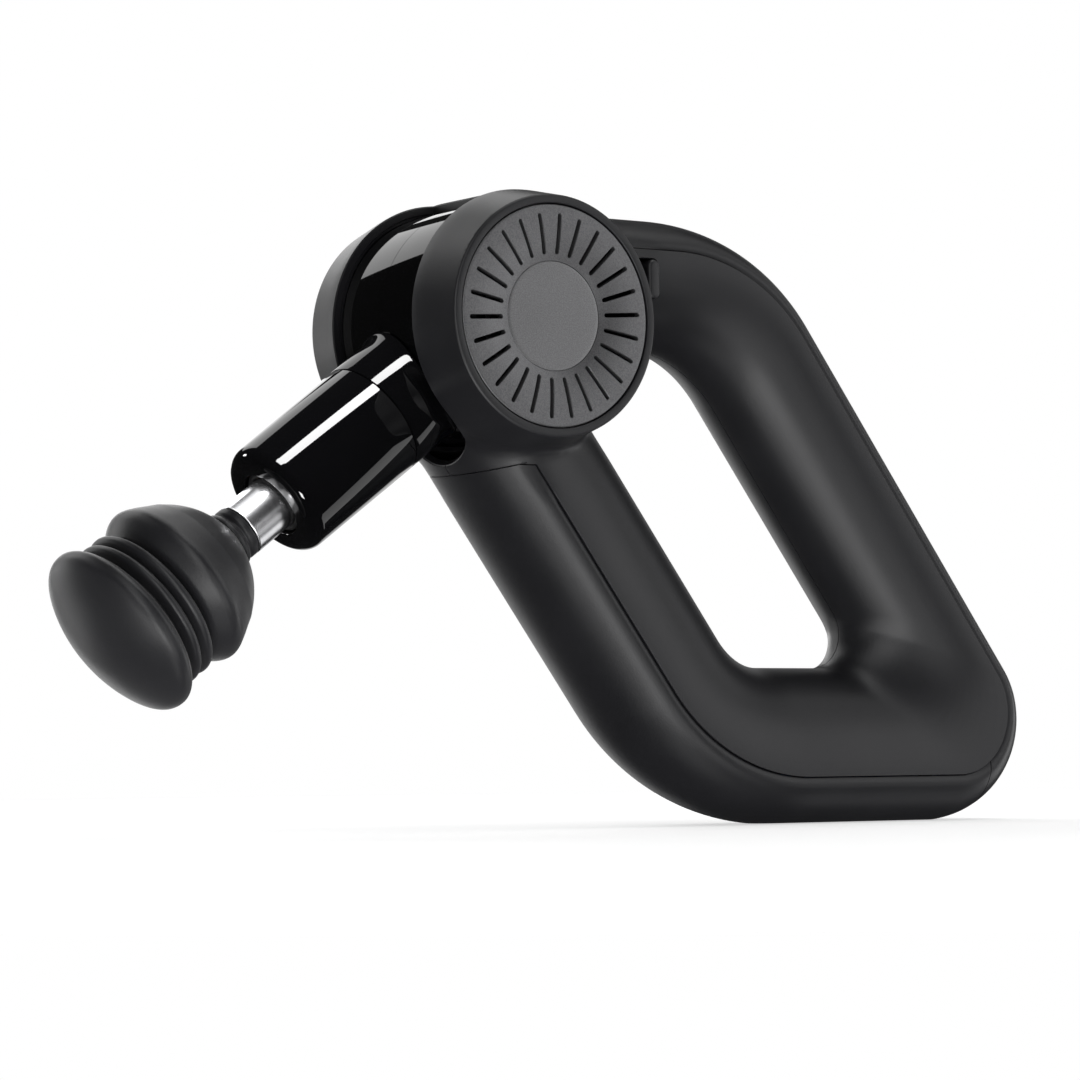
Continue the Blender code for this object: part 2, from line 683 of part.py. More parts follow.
def stator_outline():
    """Nine-toothed core."""
    points = []
    teeth = 9
    for tooth in range(teeth):
        middle = math.tau * tooth / teeth
        for offset, radius in ((-0.14, 11.0), (-0.14, 17.6), (-0.28, 18.2), (-0.26, 19.6),
                               (0.26, 19.6), (0.28, 18.2), (0.14, 17.6), (0.14, 11.0)):
            reach = offset if radius > 12 else offset * 1.4
            points.append((radius * math.cos(middle + reach), radius * math.sin(middle + reach)))
    return points


def make_crank():
    """Eccentric disc with its pin towards the head, and the roller on the pin."""
    disc = tube("crank_disc", 2.8, CRANK_DISC_R, 3.8, 7.9, LEFT.copy(),
                material("crank_disc", (0.4, 0.4, 0.42), 0.4, 1.0), 32)
    tip = Vector((-math.cos(DROP), 0.0, -math.sin(DROP))) * CRANK_R
    pin_place = frame((1, 0, 0), (0, 0, -1), (0, 1, 0), tip)
    fuse(disc, rod("pin", 2.6, -4.2, 4.5, pin_place.copy(), None, 20))
    for angle in (50.0, -50.0):
        turn = Matrix.Rotation(DROP + math.pi + math.radians(angle), 2)
        centre = turn @ Vector((9.0, 0.0))
        cut(disc, prism("hole", circle(2.2, 12, (centre.x, centre.y)), -12.0, -2.0, RIGHT.copy()))
    tube("crank_roller", 2.9, ROLLER_R, -3.4, 3.4, pin_place.copy(), steel("crank_roller"), 24)


def make_drive_yoke():
    """Slotted plate and shank that turn the crank pin's circle into a stroke."""
    centre = CRANK_R
    half_long = ROLLER_R + SLOT_SLACK + 3.6
    half_wide = CRANK_R + ROLLER_R + 4.6
    side = frame(ARM.to_3x3().col[0], -Vector(ARM.to_3x3().col[2]), (0, 1, 0))
    plate = [(-half_wide, -centre - half_long), (half_wide, -centre - half_long),
             (half_wide, -centre + half_long), (-half_wide, -centre + half_long)]
    yoke = prism("drive_yoke", plate, -3.2, 3.2, side.copy(), None)
    slot = stadium(2 * (CRANK_R + ROLLER_R + 1.0), 2 * (ROLLER_R + SLOT_SLACK), 8, (0.0, -centre))
    cut(yoke, prism("slot", slot, -5.0, 5.0, side.copy()))
    fuse(yoke, block("link", (-5.0, -3.1, centre + half_long - 1.0), (5.0, 3.1, 29.0), ARM.copy()))
    fuse(yoke, rod("shank", BORE_R - GAP, 27.5, 52.0, ARM.copy(), None, 24))
    yoke.data.materials.append(steel("drive_yoke"))


def make_socket():
    profile = [
        (0, 53.0), (BORE_R, 53.0), (BORE_R, SOCKET_START), (SOCKET_R, SOCKET_START),
        (SOCKET_R, SOCKET_END - 0.5), (SOCKET_R - 0.5, SOCKET_END), (BORE_R, SOCKET_END),
        (BORE_R, 72.0), (0, 72.0)]
    chrome = material("chrome_socket", (0.8, 0.8, 0.82), 0.06, 1.0)
    turned("chrome_socket", profile, ARM.copy(), chrome, ARM_SEGMENTS)


# ---------------------------------------------------------------- massage head

def make_head():
    stem = [
        (0, 74.0), (STEM_R - 0.5, 74.0), (STEM_R, 74.5), (STEM_R, SOCKET_END + GAP),
        (7.8, SOCKET_END + GAP), (7.8, 103.9), (7.1, 104.2), (7.1, 105.0), (8.2, 105.4),
        (8.6, 107.2), (5.6, 107.2), (5.6, 118.0), (0, 118.0)]
    turned("head_stem", stem, ARM.copy(), soft_black("head_stem"), ARM_SEGMENTS)
    rubber = (0.028, 0.028, 0.03)
    cup = [
        (5.9, 107.5), (8.8, 107.5), (11.8, 108.5), (15.4, 111.0), (18.7, 114.9), (21.3, 119.0),
        (23.2, 122.8), (24.0, 126.5), (23.9, 130.4), (22.9, 132.6), (19.6, 133.4), (5.9, 133.4)]
    turned("head_cup", cup, ARM.copy(), material("head_cup", rubber, 0.55), HEAD_SEGMENTS)
    bellows = [(0, 133.7), (18.6, 133.7), (19.0, 134.4)]
    for low in (135.6, 139.9):
        bellows += [(22.3, low), (23.0, low + 1.1), (22.3, low + 2.3), (19.6, low + 3.1)]
    bellows += [(20.4, 144.2), (0, 144.2)]
    turned("head_bellows", bellows, ARM.copy(), material("head_bellows", rubber, 0.6), HEAD_SEGMENTS)
    dome = [(0, 144.5), (20.5, 144.5), (23.8, 145.3), (25.5, 146.7), (25.9, 148.3), (25.2, 150.3),
            (22.8, 152.2), (18.0, 154.6), (12.5, 156.4), (6.5, 157.6), (0, 158.0)]
    turned("head_dome", dome, ARM.copy(), material("head_dome", rubber, 0.5), HEAD_SEGMENTS)


def clear_scene():
    for thing in list(bpy.data.objects):
        bpy.data.objects.remove(thing)


def build():
    clear_scene()
    make_shells()
    make_bands()
    make_caps()
    make_hub_bearings()
    make_detent()
    make_lock_slider()
    make_battery()
    make_control_panel()
    make_control_board()
    make_charge_port()
    make_drum()
    make_arm()
    make_motor()
    make_crank()
    make_drive_yoke()
    make_socket()
    make_head()


build()
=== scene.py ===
"""Finished look of the loop-handled massage gun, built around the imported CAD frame.

Lengths are in millimetres and are scaled to metres when a mesh is made. Shapes are laid out around the
hub centre, as in the CAD: X runs from head to handle, Y along the hub axis, Z up.
"""
import json
from math import atan2, cos, hypot, pi, radians, sin, sqrt, tan, tau

import bmesh
import bpy
import numpy as np
from mathutils import Matrix, Vector


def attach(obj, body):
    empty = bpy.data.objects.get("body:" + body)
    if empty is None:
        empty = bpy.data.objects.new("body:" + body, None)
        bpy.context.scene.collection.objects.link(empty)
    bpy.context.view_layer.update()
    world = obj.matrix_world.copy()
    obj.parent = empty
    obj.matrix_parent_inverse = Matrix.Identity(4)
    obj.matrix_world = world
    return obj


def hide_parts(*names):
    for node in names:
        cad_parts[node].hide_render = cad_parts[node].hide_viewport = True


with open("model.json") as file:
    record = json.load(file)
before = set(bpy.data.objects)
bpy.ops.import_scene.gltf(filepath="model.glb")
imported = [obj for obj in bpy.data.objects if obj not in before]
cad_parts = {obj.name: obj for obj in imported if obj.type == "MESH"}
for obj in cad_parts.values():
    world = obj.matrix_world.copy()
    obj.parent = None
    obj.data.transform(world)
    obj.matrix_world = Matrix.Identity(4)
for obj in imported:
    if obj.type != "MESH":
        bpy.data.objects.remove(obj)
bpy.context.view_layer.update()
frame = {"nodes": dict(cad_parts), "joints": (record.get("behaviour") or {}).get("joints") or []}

MM = 0.001
GAP = 0.3
# Cutters reach this far past the part, sideways and ahead
FAR = 90.0
AHEAD = 300.0
TILT = next(joint for joint in frame["joints"] if joint["name"] == "arm_tilt")
HUB = Matrix.Translation(Vector(TILT["pos_m"]))

# The arm drops this far below the horizontal, and the two bars lean by the same angle
DROP = radians(36.7)

# Handle: distances of the outline lines from the hub centre, as front, base, back, top, hub chord
OUTER_LINES = (34.9, 145.2, 90.2, 34.2, 15.0)
SEAM_LINES = (22.4, 130.8, 79.9, 22.9, 10.2)
LOOP_LINES = (-10.5, 98.0, 54.9, -3.5, -21.2)
OUTER_RADII = (77.0, 30.0, 68.0, 1.0, 1.0)
SEAM_RADII = (63.0, 19.0, 57.0, 1.0, 1.0)
LOOP_RADII = (24.0, 10.5, 43.0, 1.0, 1.0)
HUB_CHORD = (-0.89, 0.456)
CORNER_STEPS = (40, 40, 36, 2, 2)
STRAIGHT_STEPS = (44, 40, 36, 6, 36)
SLIDE_PEAK = 106
SLIDE_REACH = 45
SLIDE_POINTS = 9.0
HALF_THICK = 24.0
WALL = 2.4
OUTER_STEPS = 30
INNER_STEPS = 26
LOOP_POWER = 0.909

# Seam across the top of the front grip, and the joint between the two bands
FRONT_SEAM_X = -16.0
FRONT_SEAM_Z = -44.4
FRONT_SEAM_SLOPE = 0.249
FRONT_SEAM_R = 3.0
BAND_SPLIT_X = 171.5
SEAM_COVE = 0.24
SEAM_TO_SIDE = 12.5
DIP_WIDTH = 3.4
DIP_R = 6.5
EDGE_COVE = 0.42
GRIP_RAY_X = -6.0
GRIP_RAY_REACH = 48.0

# Hub barrel
BARREL_R = 38.0
HUB_ZONE_R = BARREL_R + 3.0
BARREL_IN = 35.4
GROOVE_HALF = 20.7
GROOVE_LOW = 6.0
GROOVE_HIGH = 122.4
WEB_Y = 21.0
WEB_THICK = 2.2
RIM_R = 34.2
RIM_IN = 31.9
RIM_Y = 37.8
SEAT_Y = 35.0
SEAT_IN = 30.0
BEARING_R = 12.0
FLANK_END_Y = 37.0
GROOVE_RAY_REACH = 80.0

# Skin grown over handle and hub, and the zone in which it is relaxed, by distance from the hub axis
VOXEL = 0.8
BLEND_ROUNDS = 45
BLEND_STRENGTH = 0.6
BLEND_FROM = 33.0
BLEND_RISE = 3.0
BLEND_TO = 54.0
BLEND_FALL = 12.0

# Vented cap and its centre disc
CAP_R = 31.5
CAP_DISH = 1.2
CAP_THICK = 2.4
DISC_DEPTH = 1.2
DISC_R = 15.5
SLOT_COUNT = 26
SLOT_IN = 18.1
SLOT_OUT = 28.5
SLOT_WIDTH = 1.2
SLOT_FLOOR = 20.0
SLOT_PHASE = 3.5

# Drum and arm, as distances from the hub centre along the arm axis
DRUM_R = 34.8
DRUM_WALL = 2.2
DRUM_Y = 20.4
TRUNNION_R = 9.4
TRUNNION_IN = 7.0
TRUNNION_Y = 29.0
ARM_R = 17.6
ARM_NOSE_R = 17.25
NECK_FLARE = 0.9
NECK_END = 47.5
SLEEVE_START = 47.8
SLEEVE_END = 89.3
SLEEVE_WALL = 2.4
MOUTH_R = 9.9
SOCKET_R = 7.9
SOCKET_START = 38.0
SOCKET_END = 101.5
STEM_R = 5.3
BORE_R = 5.6

# Control panel on the back bar, by distance down the bar. Buttons: name, place along the panel, radius
PANEL_DOWN = 100.0
PANEL_LENGTH = 64.0
PANEL_WIDTH = 17.0
FOOT_LOW = -7.2
MARK_LOW = 0.28
BUTTONS = (("minus_button", 3.6, 3.2), ("power_button", 13.2, 4.4), ("plus_button", 22.8, 3.2))
PORT_DOWN = 166.0

# Camera as fitted to the photo: azimuth, elevation, roll, then the shift right, up and back in metres
CAMERA_ANGLES = (-34.809, -2.931, -0.544)
CAMERA_SHIFT = (0.01623, -0.0614, 1.14376)
CAMERA_AIM_Y = -0.00119
LENS = 132.03

WHITE = (1.0, 1.0, 1.0, 1.0)
FLOOR_R = 700.0
FLOOR_GLOW = 0.55
FILL_LIGHT = 0.015
LIGHTS_MIDDLE = (-0.07, 0.0, 0.09)

# Soft boxes for the matt pieces: elevation, azimuth from the camera towards its right, radiance
SOFTBOX_SIZE = 0.8
SOFTBOX_AWAY = 1.6
SOFTBOXES = (
    (-75, 0, 0.6), (-40, 0, 3.57), (-40, -40, 1.92), (-40, 40, 1.27), (-40, 120, 0.38),
    (-12, 0, 1.36), (-12, 40, 0.88), (-12, 80, 0.53), (-12, 120, 1.42), (-12, -160, 0.87), (-12, -120, 0.7),
    (-12, -40, 0.44), (12, 0, 1.49), (12, 80, 1.27), (12, 120, 0.72), (12, 160, 0.39), (12, -160, 1.69),
    (12, -120, 1.2), (40, 0, 0.96), (40, 80, 0.68), (40, 120, 0.43), (40, -160, 1.3), (40, -120, 1.66),
    (40, -80, 0.36), (68, 60, 1.65), (68, 120, 0.7), (68, 180, 1.14))
# For the gloss pieces, the sleeve and the bright metal: elevation, azimuth, radiance, size
GLOSS_BOXES = ((40, -144, 1.0, 0.8), (15, -165, 1.2, 0.6), (-12, 180, 0.6, 0.8))
SLEEVE_BOXES = ((-22, 114, 0.75, 0.9), (-32, -6, 16.0, 0.3), (15, -107, 12.0, 0.2))
METAL_BOXES = ((45, -40, 1.3, 1.8), (-20, -60, 0.8, 1.0))
# Long strip over the sleeve: direction as shares of right, up and back, height along the arm, radiance
STRIP_DIRECTION = (0.12, 0.94, 0.32)
STRIP_SIZE = (1.5, 0.26)
STRIP_AWAY = 1.0
STRIP_AT = 68.0
STRIP_RADIANCE = 14.0

# Lock slider on the right side panel
LOCK_X = 43.9
LOCK_Z = 14.2
LOCK_TRAVEL = 3.5
LOCK_PLATE_Y = 15.0
LOCK_LENGTH = 11.6
LOCK_WIDTH = 4.3

BAR = Vector((sin(DROP), 0.0, -cos(DROP)))
OUTWARD = Vector((cos(DROP), 0.0, sin(DROP)))


def turned_to(x_axis, y_axis, z_axis):
    return Matrix((x_axis, y_axis, z_axis)).transposed().to_4x4()


def placed(x_axis, y_axis, z_axis, origin=(0.0, 0.0, 0.0)):
    """Placement whose local axes are the three given directions, around the hub centre."""
    return HUB @ Matrix.Translation(Vector(origin) * MM) @ turned_to(x_axis, y_axis, z_axis)


def on_right(x=0.0, z=0.0):
    """Placement with local Z out of the right side."""
    return placed((1, 0, 0), (0, 0, 1), (0, -1, 0), (x, 0.0, z))


ARM = placed((-sin(DROP), 0, cos(DROP)), (0, 1, 0), (-cos(DROP), 0, -sin(DROP)))
RIGHT = on_right()
LEFT = placed((1, 0, 0), (0, 0, -1), (0, 1, 0))
SIDES = (("right", RIGHT), ("left", LEFT))
CREST = OUTWARD * OUTER_LINES[2]
PANEL = placed(BAR, (0, 1, 0), OUTWARD, CREST + BAR * PANEL_DOWN)
PORT = placed(BAR, (0, 1, 0), OUTWARD, CREST + BAR * PORT_DOWN)


# --- mesh helpers

def in_scene(thing):
    bpy.context.scene.collection.objects.link(thing)
    return thing


def add_object(name, shape, place):
    """Turn a bmesh in millimetres into an object at the origin, its place in its vertices."""
    bmesh.ops.remove_doubles(shape, verts=shape.verts, dist=0.0005)
    bmesh.ops.recalc_face_normals(shape, faces=shape.faces)
    bmesh.ops.scale(shape, vec=(MM, MM, MM), verts=shape.verts)
    bmesh.ops.transform(shape, matrix=place, verts=shape.verts)
    mesh = bpy.data.meshes.new(name)
    shape.to_mesh(mesh)
    shape.free()
    return in_scene(bpy.data.objects.new(name, mesh))


def apply_modifiers(thing):
    """Replace the object's mesh by its evaluated mesh."""
    bpy.context.view_layer.update()
    graph = bpy.context.evaluated_depsgraph_get()
    result = bpy.data.meshes.new_from_object(thing.evaluated_get(graph))
    thing.modifiers.clear()
    old = thing.data
    thing.data = result
    result.name = thing.name
    bpy.data.meshes.remove(old)
    return thing


def duplicate(thing, name):
    made = thing.copy()
    made.data = thing.data.copy()
    made.name = name
    return in_scene(made)


def remove(*things):
    for thing in things:
        mesh = thing.data
        bpy.data.objects.remove(thing)
        bpy.data.meshes.remove(mesh)


def combine(thing, operation, *others):
    """Apply Booleans on closed meshes and remove the other objects."""
    for other in others:
        step = thing.modifiers.new("combine", "BOOLEAN")
        step.object = other
        step.operation = operation
        step.solver = "MANIFOLD"
        apply_modifiers(thing)
        remove(other)
    return thing


def cut(thing, *cutters):
    return combine(thing, "DIFFERENCE", *cutters)


def fuse(thing, *others):
    return combine(thing, "UNION", *others)


def turned(name, profile, place, segments=128):
    """Closed profile of (radius, height) points spun about local Z."""
    shape = bmesh.new()
    rings = []
    for radius, height in profile:
        if radius < 1e-6:
            rings.append([shape.verts.new((0.0, 0.0, height))])
            continue
        angles = [tau * step / segments for step in range(segments)]
        rings.append([shape.verts.new((radius * cos(a), radius * sin(a), height)) for a in angles])
    for ring, after in zip(rings, rings[1:] + rings[:1]):
        for step in range(segments):
            following = (step + 1) % segments
            corners = [ring[step % len(ring)], ring[following % len(ring)],
                       after[following % len(after)], after[step % len(after)]]
            corners = list(dict.fromkeys(corners))
            if len(corners) > 2:
                shape.faces.new(corners)
    return add_object(name, shape, place)


def skin_rings(shape, rings, cyclic=False):
    """Add the faces of a closed solid through rings of equally many points."""
    made = [[shape.verts.new(spot) for spot in ring] for ring in rings]
    following = made[1:] + made[:1] if cyclic else made[1:]
    for ring, after in zip(made, following):
        count = len(ring)
        for index in range(count):
            across = (index + 1) % count
            shape.faces.new((ring[index], ring[across], after[across], after[index]))
    if not cyclic:
        shape.faces.new(made[0][::-1])
        shape.faces.new(made[-1])


def loft(name, rings, place, cyclic=False):
    shape = bmesh.new()
    skin_rings(shape, rings, cyclic)
    return add_object(name, shape, place)


def level(points, height):
    """A flat outline as a ring at a height."""
    return [(x, y, height) for x, y in points]


def prism(name, points, low, high, place):
    return loft(name, [level(points, low), level(points, high)], place)


def block(name, low, high, place):
    corners = [(low[0], low[1]), (high[0], low[1]), (high[0], high[1]), (low[0], high[1])]
    return prism(name, corners, low[2], high[2], place)


def stadium(length, width, steps=16, centre=(0.0, 0.0)):
    """Outline with two round ends, longest along x."""
    radius = width / 2
    reach = length / 2 - radius
    points = []
    for side, start in ((1, -90.0), (-1, 90.0)):
        points += arc((centre[0] + side * reach, centre[1]), radius, start, start + 180.0, steps)
    return points


def rounded_pill(name, length, width, low, high, edge, place, centre=(0.0, 0.0)):
    """Stadium-shaped pad with a rounded top edge and a lightly broken bottom edge."""
    levels = [(0.15, low), (0.0, low + 0.15)]
    steps = 5
    for step in range(steps + 1):
        angle = radians(90.0 * step / steps)
        levels.append((edge * (1.0 - cos(angle)), high - edge + edge * sin(angle)))
    rings = [level(stadium(length - 2 * inset, width - 2 * inset, 16, centre), height)
             for inset, height in levels]
    return loft(name, rings, place)


def arc(centre, radius, start, end, steps):
    """Points of an arc in a plane, angles in degrees."""
    points = []
    for step in range(steps + 1):
        angle = radians(start + (end - start) * step / steps)
        points.append((centre[0] + radius * cos(angle), centre[1] + radius * sin(angle)))
    return points


def smooth_curve(points, steps=6):
    """Catmull-Rom curve through the points. At the axis the curve meets its mirror image."""
    spots = [Vector(point) for point in points]
    ends = []
    for end, inner in ((spots[0], spots[1]), (spots[-1], spots[-2])):
        ends.append(Vector((-inner.x, inner.y)) if end.x == 0 else end * 2 - inner)
    spots = [ends[0]] + spots + [ends[1]]
    made = []
    for before, first, second, after in zip(spots, spots[1:], spots[2:], spots[3:]):
        for step in range(steps):
            t = step / steps
            spot = 0.5 * (2 * first + (second - before) * t
                          + (2 * before - 5 * first + 4 * second - after) * t * t
                          + (3 * first - before - 3 * second + after) * t * t * t)
            made.append((max(spot.x, 0.0), spot.y))
    made.append(tuple(points[-1]))
    return made


def round_bar(name, points, uprights, radius, closed=True, sides=8):
    """Thin round bar along world points, each with an upright direction, for coving an edge."""
    count = len(points)
    rings = []
    for index, (point, upright) in enumerate(zip(points, uprights)):
        ahead = points[(index + 1) % count if closed else min(index + 1, count - 1)]
        behind = points[(index - 1) % count if closed else max(index - 1, 0)]
        tangent = (ahead - behind).normalized()
        across = tangent.cross(upright).normalized()
        up = across.cross(tangent)
        ring = []
        for step in range(sides):
            angle = tau * (step + 0.5) / sides
            ring.append(point / MM + radius * (cos(angle) * across + sin(angle) * up))
        rings.append(ring)
    return loft(name, rings, Matrix.Identity(4), cyclic=closed)


# --- handle loop

def rounded_corner(corner, before, after, radius, steps):
    """Points of an arc that rounds the corner between two line directions."""
    turn = before.angle(after)
    start = corner - before * radius * tan(turn / 2)
    inward = Vector((-before.y, before.x))
    if inward.dot(after) < 0:
        inward = -inward
    centre = start + inward * radius
    spoke = start - centre
    sign = 1.0 if before.cross(after) > 0 else -1.0
    return [centre + Matrix.Rotation(sign * turn * step / steps, 2) @ spoke for step in range(steps + 1)]


def outline(lines, radii, grow=0.0):
    """Handle outline in the (x, z) plane, grown outward by a distance, with its straights divided."""
    out = (OUTWARD.x, OUTWARD.z)
    normals = [(-out[0], -out[1]), (0, -1), out, (0, 1), HUB_CHORD]
    normals = [Vector(normal).normalized() for normal in normals]
    shifted = [line + grow for line in lines]
    corners = []
    for index in range(5):
        after = (index + 1) % 5
        first = normals[index]
        second = normals[after]
        determinant = first.cross(second)
        x = (shifted[index] * second.y - shifted[after] * first.y) / determinant
        z = (first.x * shifted[after] - second.x * shifted[index]) / determinant
        along = [Vector((-normal.y, normal.x)) for normal in (first, second)]
        radius = max(radii[index] + grow, 0.5)
        corners.append(rounded_corner(Vector((x, z)), *along, radius, CORNER_STEPS[index]))
    points = []
    for corner, following, steps in zip(corners, corners[1:] + corners[:1], STRAIGHT_STEPS):
        points += corner
        for step in range(1, steps):
            points.append(corner[-1].lerp(following[0], step / steps))
    return points


def handle_section(thick, outer, loop):
    """Section stations as (outline reached for, share of the way from the seam, y), once around."""
    stations = []
    for step in range(-OUTER_STEPS, OUTER_STEPS + 1):
        angle = radians(90.0 * step / OUTER_STEPS)
        stations.append((outer, cos(angle), thick * sin(angle)))
    for step in range(1, 2 * INNER_STEPS):
        angle = radians(90.0 * step / INNER_STEPS)
        stations.append((loop, sin(angle) ** LOOP_POWER, thick * cos(angle)))
    return stations


def slid(points):
    """The same outline with its points moved up the back around the lower back corner."""
    made = []
    for index in range(len(points)):
        share = max(0.0, 1.0 - abs(index - SLIDE_PEAK) / SLIDE_REACH)
        spot = index + SLIDE_POINTS * share * share * (3.0 - 2.0 * share)
        first = int(spot)
        made.append(points[first % len(points)].lerp(points[(first + 1) % len(points)], spot - first))
    return made


def seam_dip(share):
    """How far the band's rounded edge has dropped at a share of the way out from the seam."""
    inside = DIP_WIDTH - share * SEAM_TO_SIDE
    return DIP_R - sqrt(DIP_R ** 2 - inside ** 2) if inside > 0 else 0.0


def handle_solid(name, shrink=0.0, dipped=False):
    """The handle's closed ring, or its hollow when shrunk by the wall thickness."""
    outer = slid(outline(OUTER_LINES, OUTER_RADII, -shrink))
    seam = slid(outline(SEAM_LINES, SEAM_RADII))
    loop = outline(LOOP_LINES, LOOP_RADII, shrink)
    rings = []
    for target, share, y in handle_section(HALF_THICK - shrink, outer, loop):
        if dipped:
            y -= y / HALF_THICK * seam_dip(share if target is outer else 0.0)
        spots = [at_seam.lerp(at_target, max(share, 0.0)) for at_seam, at_target in zip(seam, target)]
        rings.append([(spot.x, y, spot.y) for spot in spots])
    return loft(name, rings, HUB, cyclic=True)


def seam_prism(grow, deep=60.0):
    """A prism over the seam outline, for splitting the band from the side shells."""
    return prism("cutter", outline(SEAM_LINES, SEAM_RADII, grow), -deep, deep, RIGHT)


def hub_cylinder(radius):
    return turned("cutter", [(0, -60.0), (radius, -60.0), (radius, 60.0), (0, 60.0)], LEFT, 192)


# --- housing body

def barrel_flank(y):
    """Radius of the conical flank of the hub at a distance from the middle plane."""
    share = (y - GROOVE_HALF) / (FLANK_END_Y - GROOVE_HALF)
    return BARREL_R + (RIM_R + 0.3 - BARREL_R) * share


def make_body(dipped):
    """Handle and hub grown into one skin: remeshed, drawn back onto the true shape, blended at the hub."""
    whole = handle_solid("body", 0.0, dipped)
    over = 44.0
    side = [(BARREL_R, GROOVE_HALF), (barrel_flank(over), over)]
    profile = [(0, -over), (barrel_flank(over), -over), (BARREL_R, -GROOVE_HALF)] + side + [(0, over)]
    fuse(whole, turned("barrel", profile, LEFT, 240))
    body = duplicate(whole, "skin")
    grid = body.modifiers.new("grid", "REMESH")
    grid.mode = "VOXEL"
    grid.voxel_size = VOXEL * MM
    apply_modifiers(body)
    snap = body.modifiers.new("snap", "SHRINKWRAP")
    snap.target = whole
    snap.wrap_method = "NEAREST_SURFACEPOINT"
    apply_modifiers(body)
    remove(whole)
    blend_hub(body)
    return body


def blend_hub(body):
    """Relax the skin where the hub meets the handle, which leaves a soft hollow there."""
    mesh = body.data
    count = len(mesh.vertices)
    spots = np.empty(count * 3)
    mesh.vertices.foreach_get("co", spots)
    spots = spots.reshape(-1, 3)
    edges = np.empty(len(mesh.edges) * 2, dtype=np.int64)
    mesh.edges.foreach_get("vertices", edges)
    edges = edges.reshape(-1, 2)
    away = np.hypot(spots[:, 0] - HUB[0][3], spots[:, 2] - HUB[2][3]) / MM
    rise = np.clip((away - BLEND_FROM) / BLEND_RISE, 0.0, 1.0)
    fall = np.clip((BLEND_TO - away) / BLEND_FALL, 0.0, 1.0)
    weight = (rise * fall * fall * (3.0 - 2.0 * fall))[:, None] * BLEND_STRENGTH
    degree = np.bincount(edges.ravel(), minlength=count)[:, None]
    rounds = BLEND_ROUNDS
    for _ in range(rounds):
        total = np.zeros_like(spots)
        for axis in range(3):
            for end in (0, 1):
                total[:, axis] += np.bincount(edges[:, end], spots[edges[:, 1 - end], axis], count)
        spots += weight * (total / np.maximum(degree, 1) - spots)
    mesh.vertices.foreach_set("co", spots.ravel())
    mesh.update()


def skin_path(body, rays):
    """Where rays from outside, as (start, direction), first meet the skin, with the ways back out."""
    casts = [(body.ray_cast(start, direction.normalized()), -direction) for start, direction in rays]
    return [cast[1].copy() for cast, _ in casts if cast[0]], [out for cast, out in casts if cast[0]]


def groove_turns():
    """Directions of the groove's low and high ends around the hub axis."""
    low = pi + DROP + radians(GROOVE_LOW)
    return low, low - radians(GROOVE_LOW + GROOVE_HIGH)


def groove_edge(body):
    """Closed path of the groove's edge on the skin, with the directions away from the hub axis."""
    centre = HUB.translation
    low, high = groove_turns()
    reach = GROOVE_RAY_REACH
    axis = Vector((cos(low), 0.0, sin(low)))
    side = Vector((-axis.z, 0.0, axis.x))
    starts = []
    for step in range(65):
        angle = radians(-90.0 + 180.0 * step / 64)
        across = cos(angle) * side + sin(angle) * Vector((0.0, 1.0, 0.0))
        starts.append((centre + (axis * reach + across * GROOVE_HALF) * MM, -axis))
    turns = [low + (high - low) * step / 96 for step in range(1, 97)]
    rest = [(turn, GROOVE_HALF) for turn in turns]
    rest += [(high, -GROOVE_HALF * step / 16) for step in range(-15, 16)]
    rest += [(turn, -GROOVE_HALF) for turn in turns[::-1]]
    for turn, y in rest:
        out = Vector((cos(turn), 0.0, sin(turn)))
        starts.append((centre + out * reach * MM + Vector((0.0, y * MM, 0.0)), -out))
    return skin_path(body, starts)


def grip_edge(body):
    """Closed path of the seam across the top of the front grip."""
    centre = Vector((GRIP_RAY_X, 0.0, front_seam(GRIP_RAY_X)))
    across = Vector((1.0, 0.0, FRONT_SEAM_SLOPE)).normalized()
    rays = []
    for step in range(120):
        angle = tau * step / 120
        out = cos(angle) * across + sin(angle) * Vector((0.0, 1.0, 0.0))
        rays.append((HUB @ ((centre + out * GRIP_RAY_REACH) * MM), -out))
    points = skin_path(body, rays)[0]
    return points, [Vector((0.0, 0.0, 1.0))] * len(points)


def seam_corner():
    """Corner where the seam across the front grip would meet the long seam, and the rounding's centre."""
    low = -SEAM_LINES[0] - sin(DROP) * front_seam(0.0)
    x = low / (cos(DROP) + sin(DROP) * FRONT_SEAM_SLOPE)
    corner = Vector((x, front_seam(x)))
    before = Vector((1.0, FRONT_SEAM_SLOPE)).normalized()
    turn = before.angle(Vector((BAR.x, BAR.z)))
    inward = Vector((before.y, -before.x))
    centre = corner - before * FRONT_SEAM_R * tan(turn / 2) + inward * FRONT_SEAM_R
    return corner, centre, -inward, turn


def corner_fill(radius):
    """What the side shell keeps of the front grip's rounded corner, as a prism outside an arc."""
    corner, centre, spoke, turn = seam_corner()
    spokes = [Matrix.Rotation(-turn * step / 12, 2) @ spoke for step in range(13)]
    points = [centre + out * radius for out in spokes]
    points.append(points[-1] + spokes[-1] * 2.0)
    points.append(corner + (corner - centre).normalized() * 3.0)
    points.append(points[0] + spokes[0] * 2.0)
    return prism("cutter", points, -FAR, FAR, RIGHT)


def corner_disc():
    corner = seam_corner()[0]
    return prism("cutter", stadium(5.0, 5.0, 12, corner), -FAR, FAR, RIGHT)


def front_seam(x, shift=0.0):
    """Height of the seam across the top of the front grip."""
    return FRONT_SEAM_Z + (x - FRONT_SEAM_X) * FRONT_SEAM_SLOPE + shift


def front_block(grow=0.0):
    """The part of the hub ahead of and above the front grip, which the side shells keep."""
    right = 10.0 + grow
    corners = [(-AHEAD, front_seam(-AHEAD, -grow)), (right, front_seam(right, -grow))]
    corners += [(right, FAR), (-AHEAD, FAR)]
    return prism("cutter", corners, -FAR, FAR, RIGHT)


